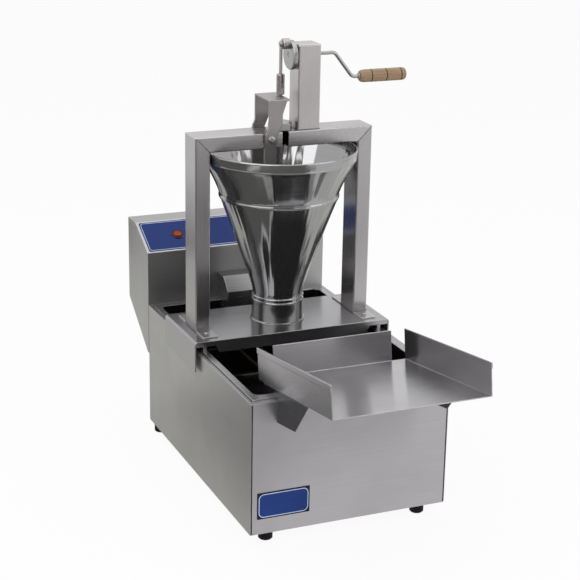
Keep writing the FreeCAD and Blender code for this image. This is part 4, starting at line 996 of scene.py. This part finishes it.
paperZ = (0.002, 0.002)
boardTint = (1, 1, 0.95, 1)
boards = {      # grey papers laid down and boards that stand, which only the bare metal mirrors
    "nearPaper": {"x": (-0.30, -0.172), "y": (-0.5, 0.42), "tone": 0.60},
    "rearPaper": {"x": (-0.85, -0.172), "y": (0.42, 1.3), "tone": 0.70},
    "leftPaper": {"x": (-5.0, -0.30), "y": (-0.5, 0.42), "tone": 0.16},
    "farLeftPaper": {"x": (-5.0, -0.85), "y": (0.42, 1.3), "tone": 0.16},
    "backPaper": {"x": (-0.72, -0.20), "y": (1.3, 2.0), "tone": 0.12},
    "rightPaper": {"x": (0.30, 0.425), "y": (-0.2, 0.6), "tone": 0.26},
    "farRightPaper": {"x": (0.425, 1.6), "y": (-0.1, 1.8), "tone": 0.80},
    "frontPaper": {"x": (-1.5, 0.70), "y": (-2.8, -1.1), "tone": 0.18},
    "midPaper": {"x": (-1.5, 0.25), "y": (-1.1, -0.7), "tone": 0.22},
    "frontBoard": {"x": (-2.6, 0.72), "y": (-3.0, -3.0), "z": (0.20, 0.90), "tone": 0.20},
    "highBoard": {"x": (-2.6, 2.2), "y": (-3.0, -3.0), "z": (0.90, 2.90), "tone": 0.12},
    "cornerPaper": {"x": (-5.0, -1.5), "y": (-2.8, -0.5), "tone": 0.20},
    "postBoard": {"x": (-0.31, 0.05), "y": (0.8, 0.8), "z": (0.18, 0.42), "tone": 0.02},
}


def addBoards():
    for name, board in boards.items():
        spans = (board["x"], board["y"], board.get("z", paperZ))
        middle = [sum(span) / 2 for span in spans]
        size = [high - low for low, high in spans]
        stands = size[2] > 0
        bpy.ops.object.select_all(action="DESELECT")
        bpy.ops.mesh.primitive_plane_add(size=1.0, location=middle,
                                         rotation=(math.pi / 2 * stands, 0, 0))
        sheet = bpy.context.object
        sheet.name = name
        sheet.scale = (size[0], size[2] if stands else size[1], 1)
        mat, tree, out = newMaterial(name + "Grey")
        grey = node(tree, "ShaderNodeEmission", Color=boardTint, Strength=board["tone"])
        tree.links.new(grey.outputs[0], out.inputs["Surface"])
        sheet.data.materials.append(mat)
        sheet.visible_camera = False
        sheet.visible_diffuse = False
        sheet.visible_shadow = False


lamps = {
    "keySoftbox": {"place": (-2.2, -1.4, 2.4), "aim": (0, 0, 0.3), "size": (3.2, 2.6),
                   "power": 44.0},
    "fillSoftbox": {"place": (2.3, -2.2, 1.7), "aim": (0, 0, 0.3), "size": (2.6, 2.6),
                    "power": 24.0},
    "topSoftbox": {"place": (0.1, 0.4, 2.8), "aim": (0, 0.05, 0.3), "size": (3.0, 2.4),
                   "power": 20.0},
}


def addLamps():
    for name, lamp in lamps.items():
        data = bpy.data.lights.new(name, "AREA")
        data.shape = "RECTANGLE"
        data.size, data.size_y = lamp["size"]
        data.energy = lamp["power"]
        obj = bpy.data.objects.new(name, data)
        bpy.context.scene.collection.objects.link(obj)
        obj.location = lamp["place"]
        look = Vector(lamp["aim"]) - Vector(lamp["place"])
        obj.rotation_euler = look.to_track_quat("-Z", "Y").to_euler()
        obj.visible_camera = False


addFloor()
addBoards()
addWorld()
addLamps()
bpy.context.scene.view_settings.view_transform = "Standard"
print("stage and light ready")
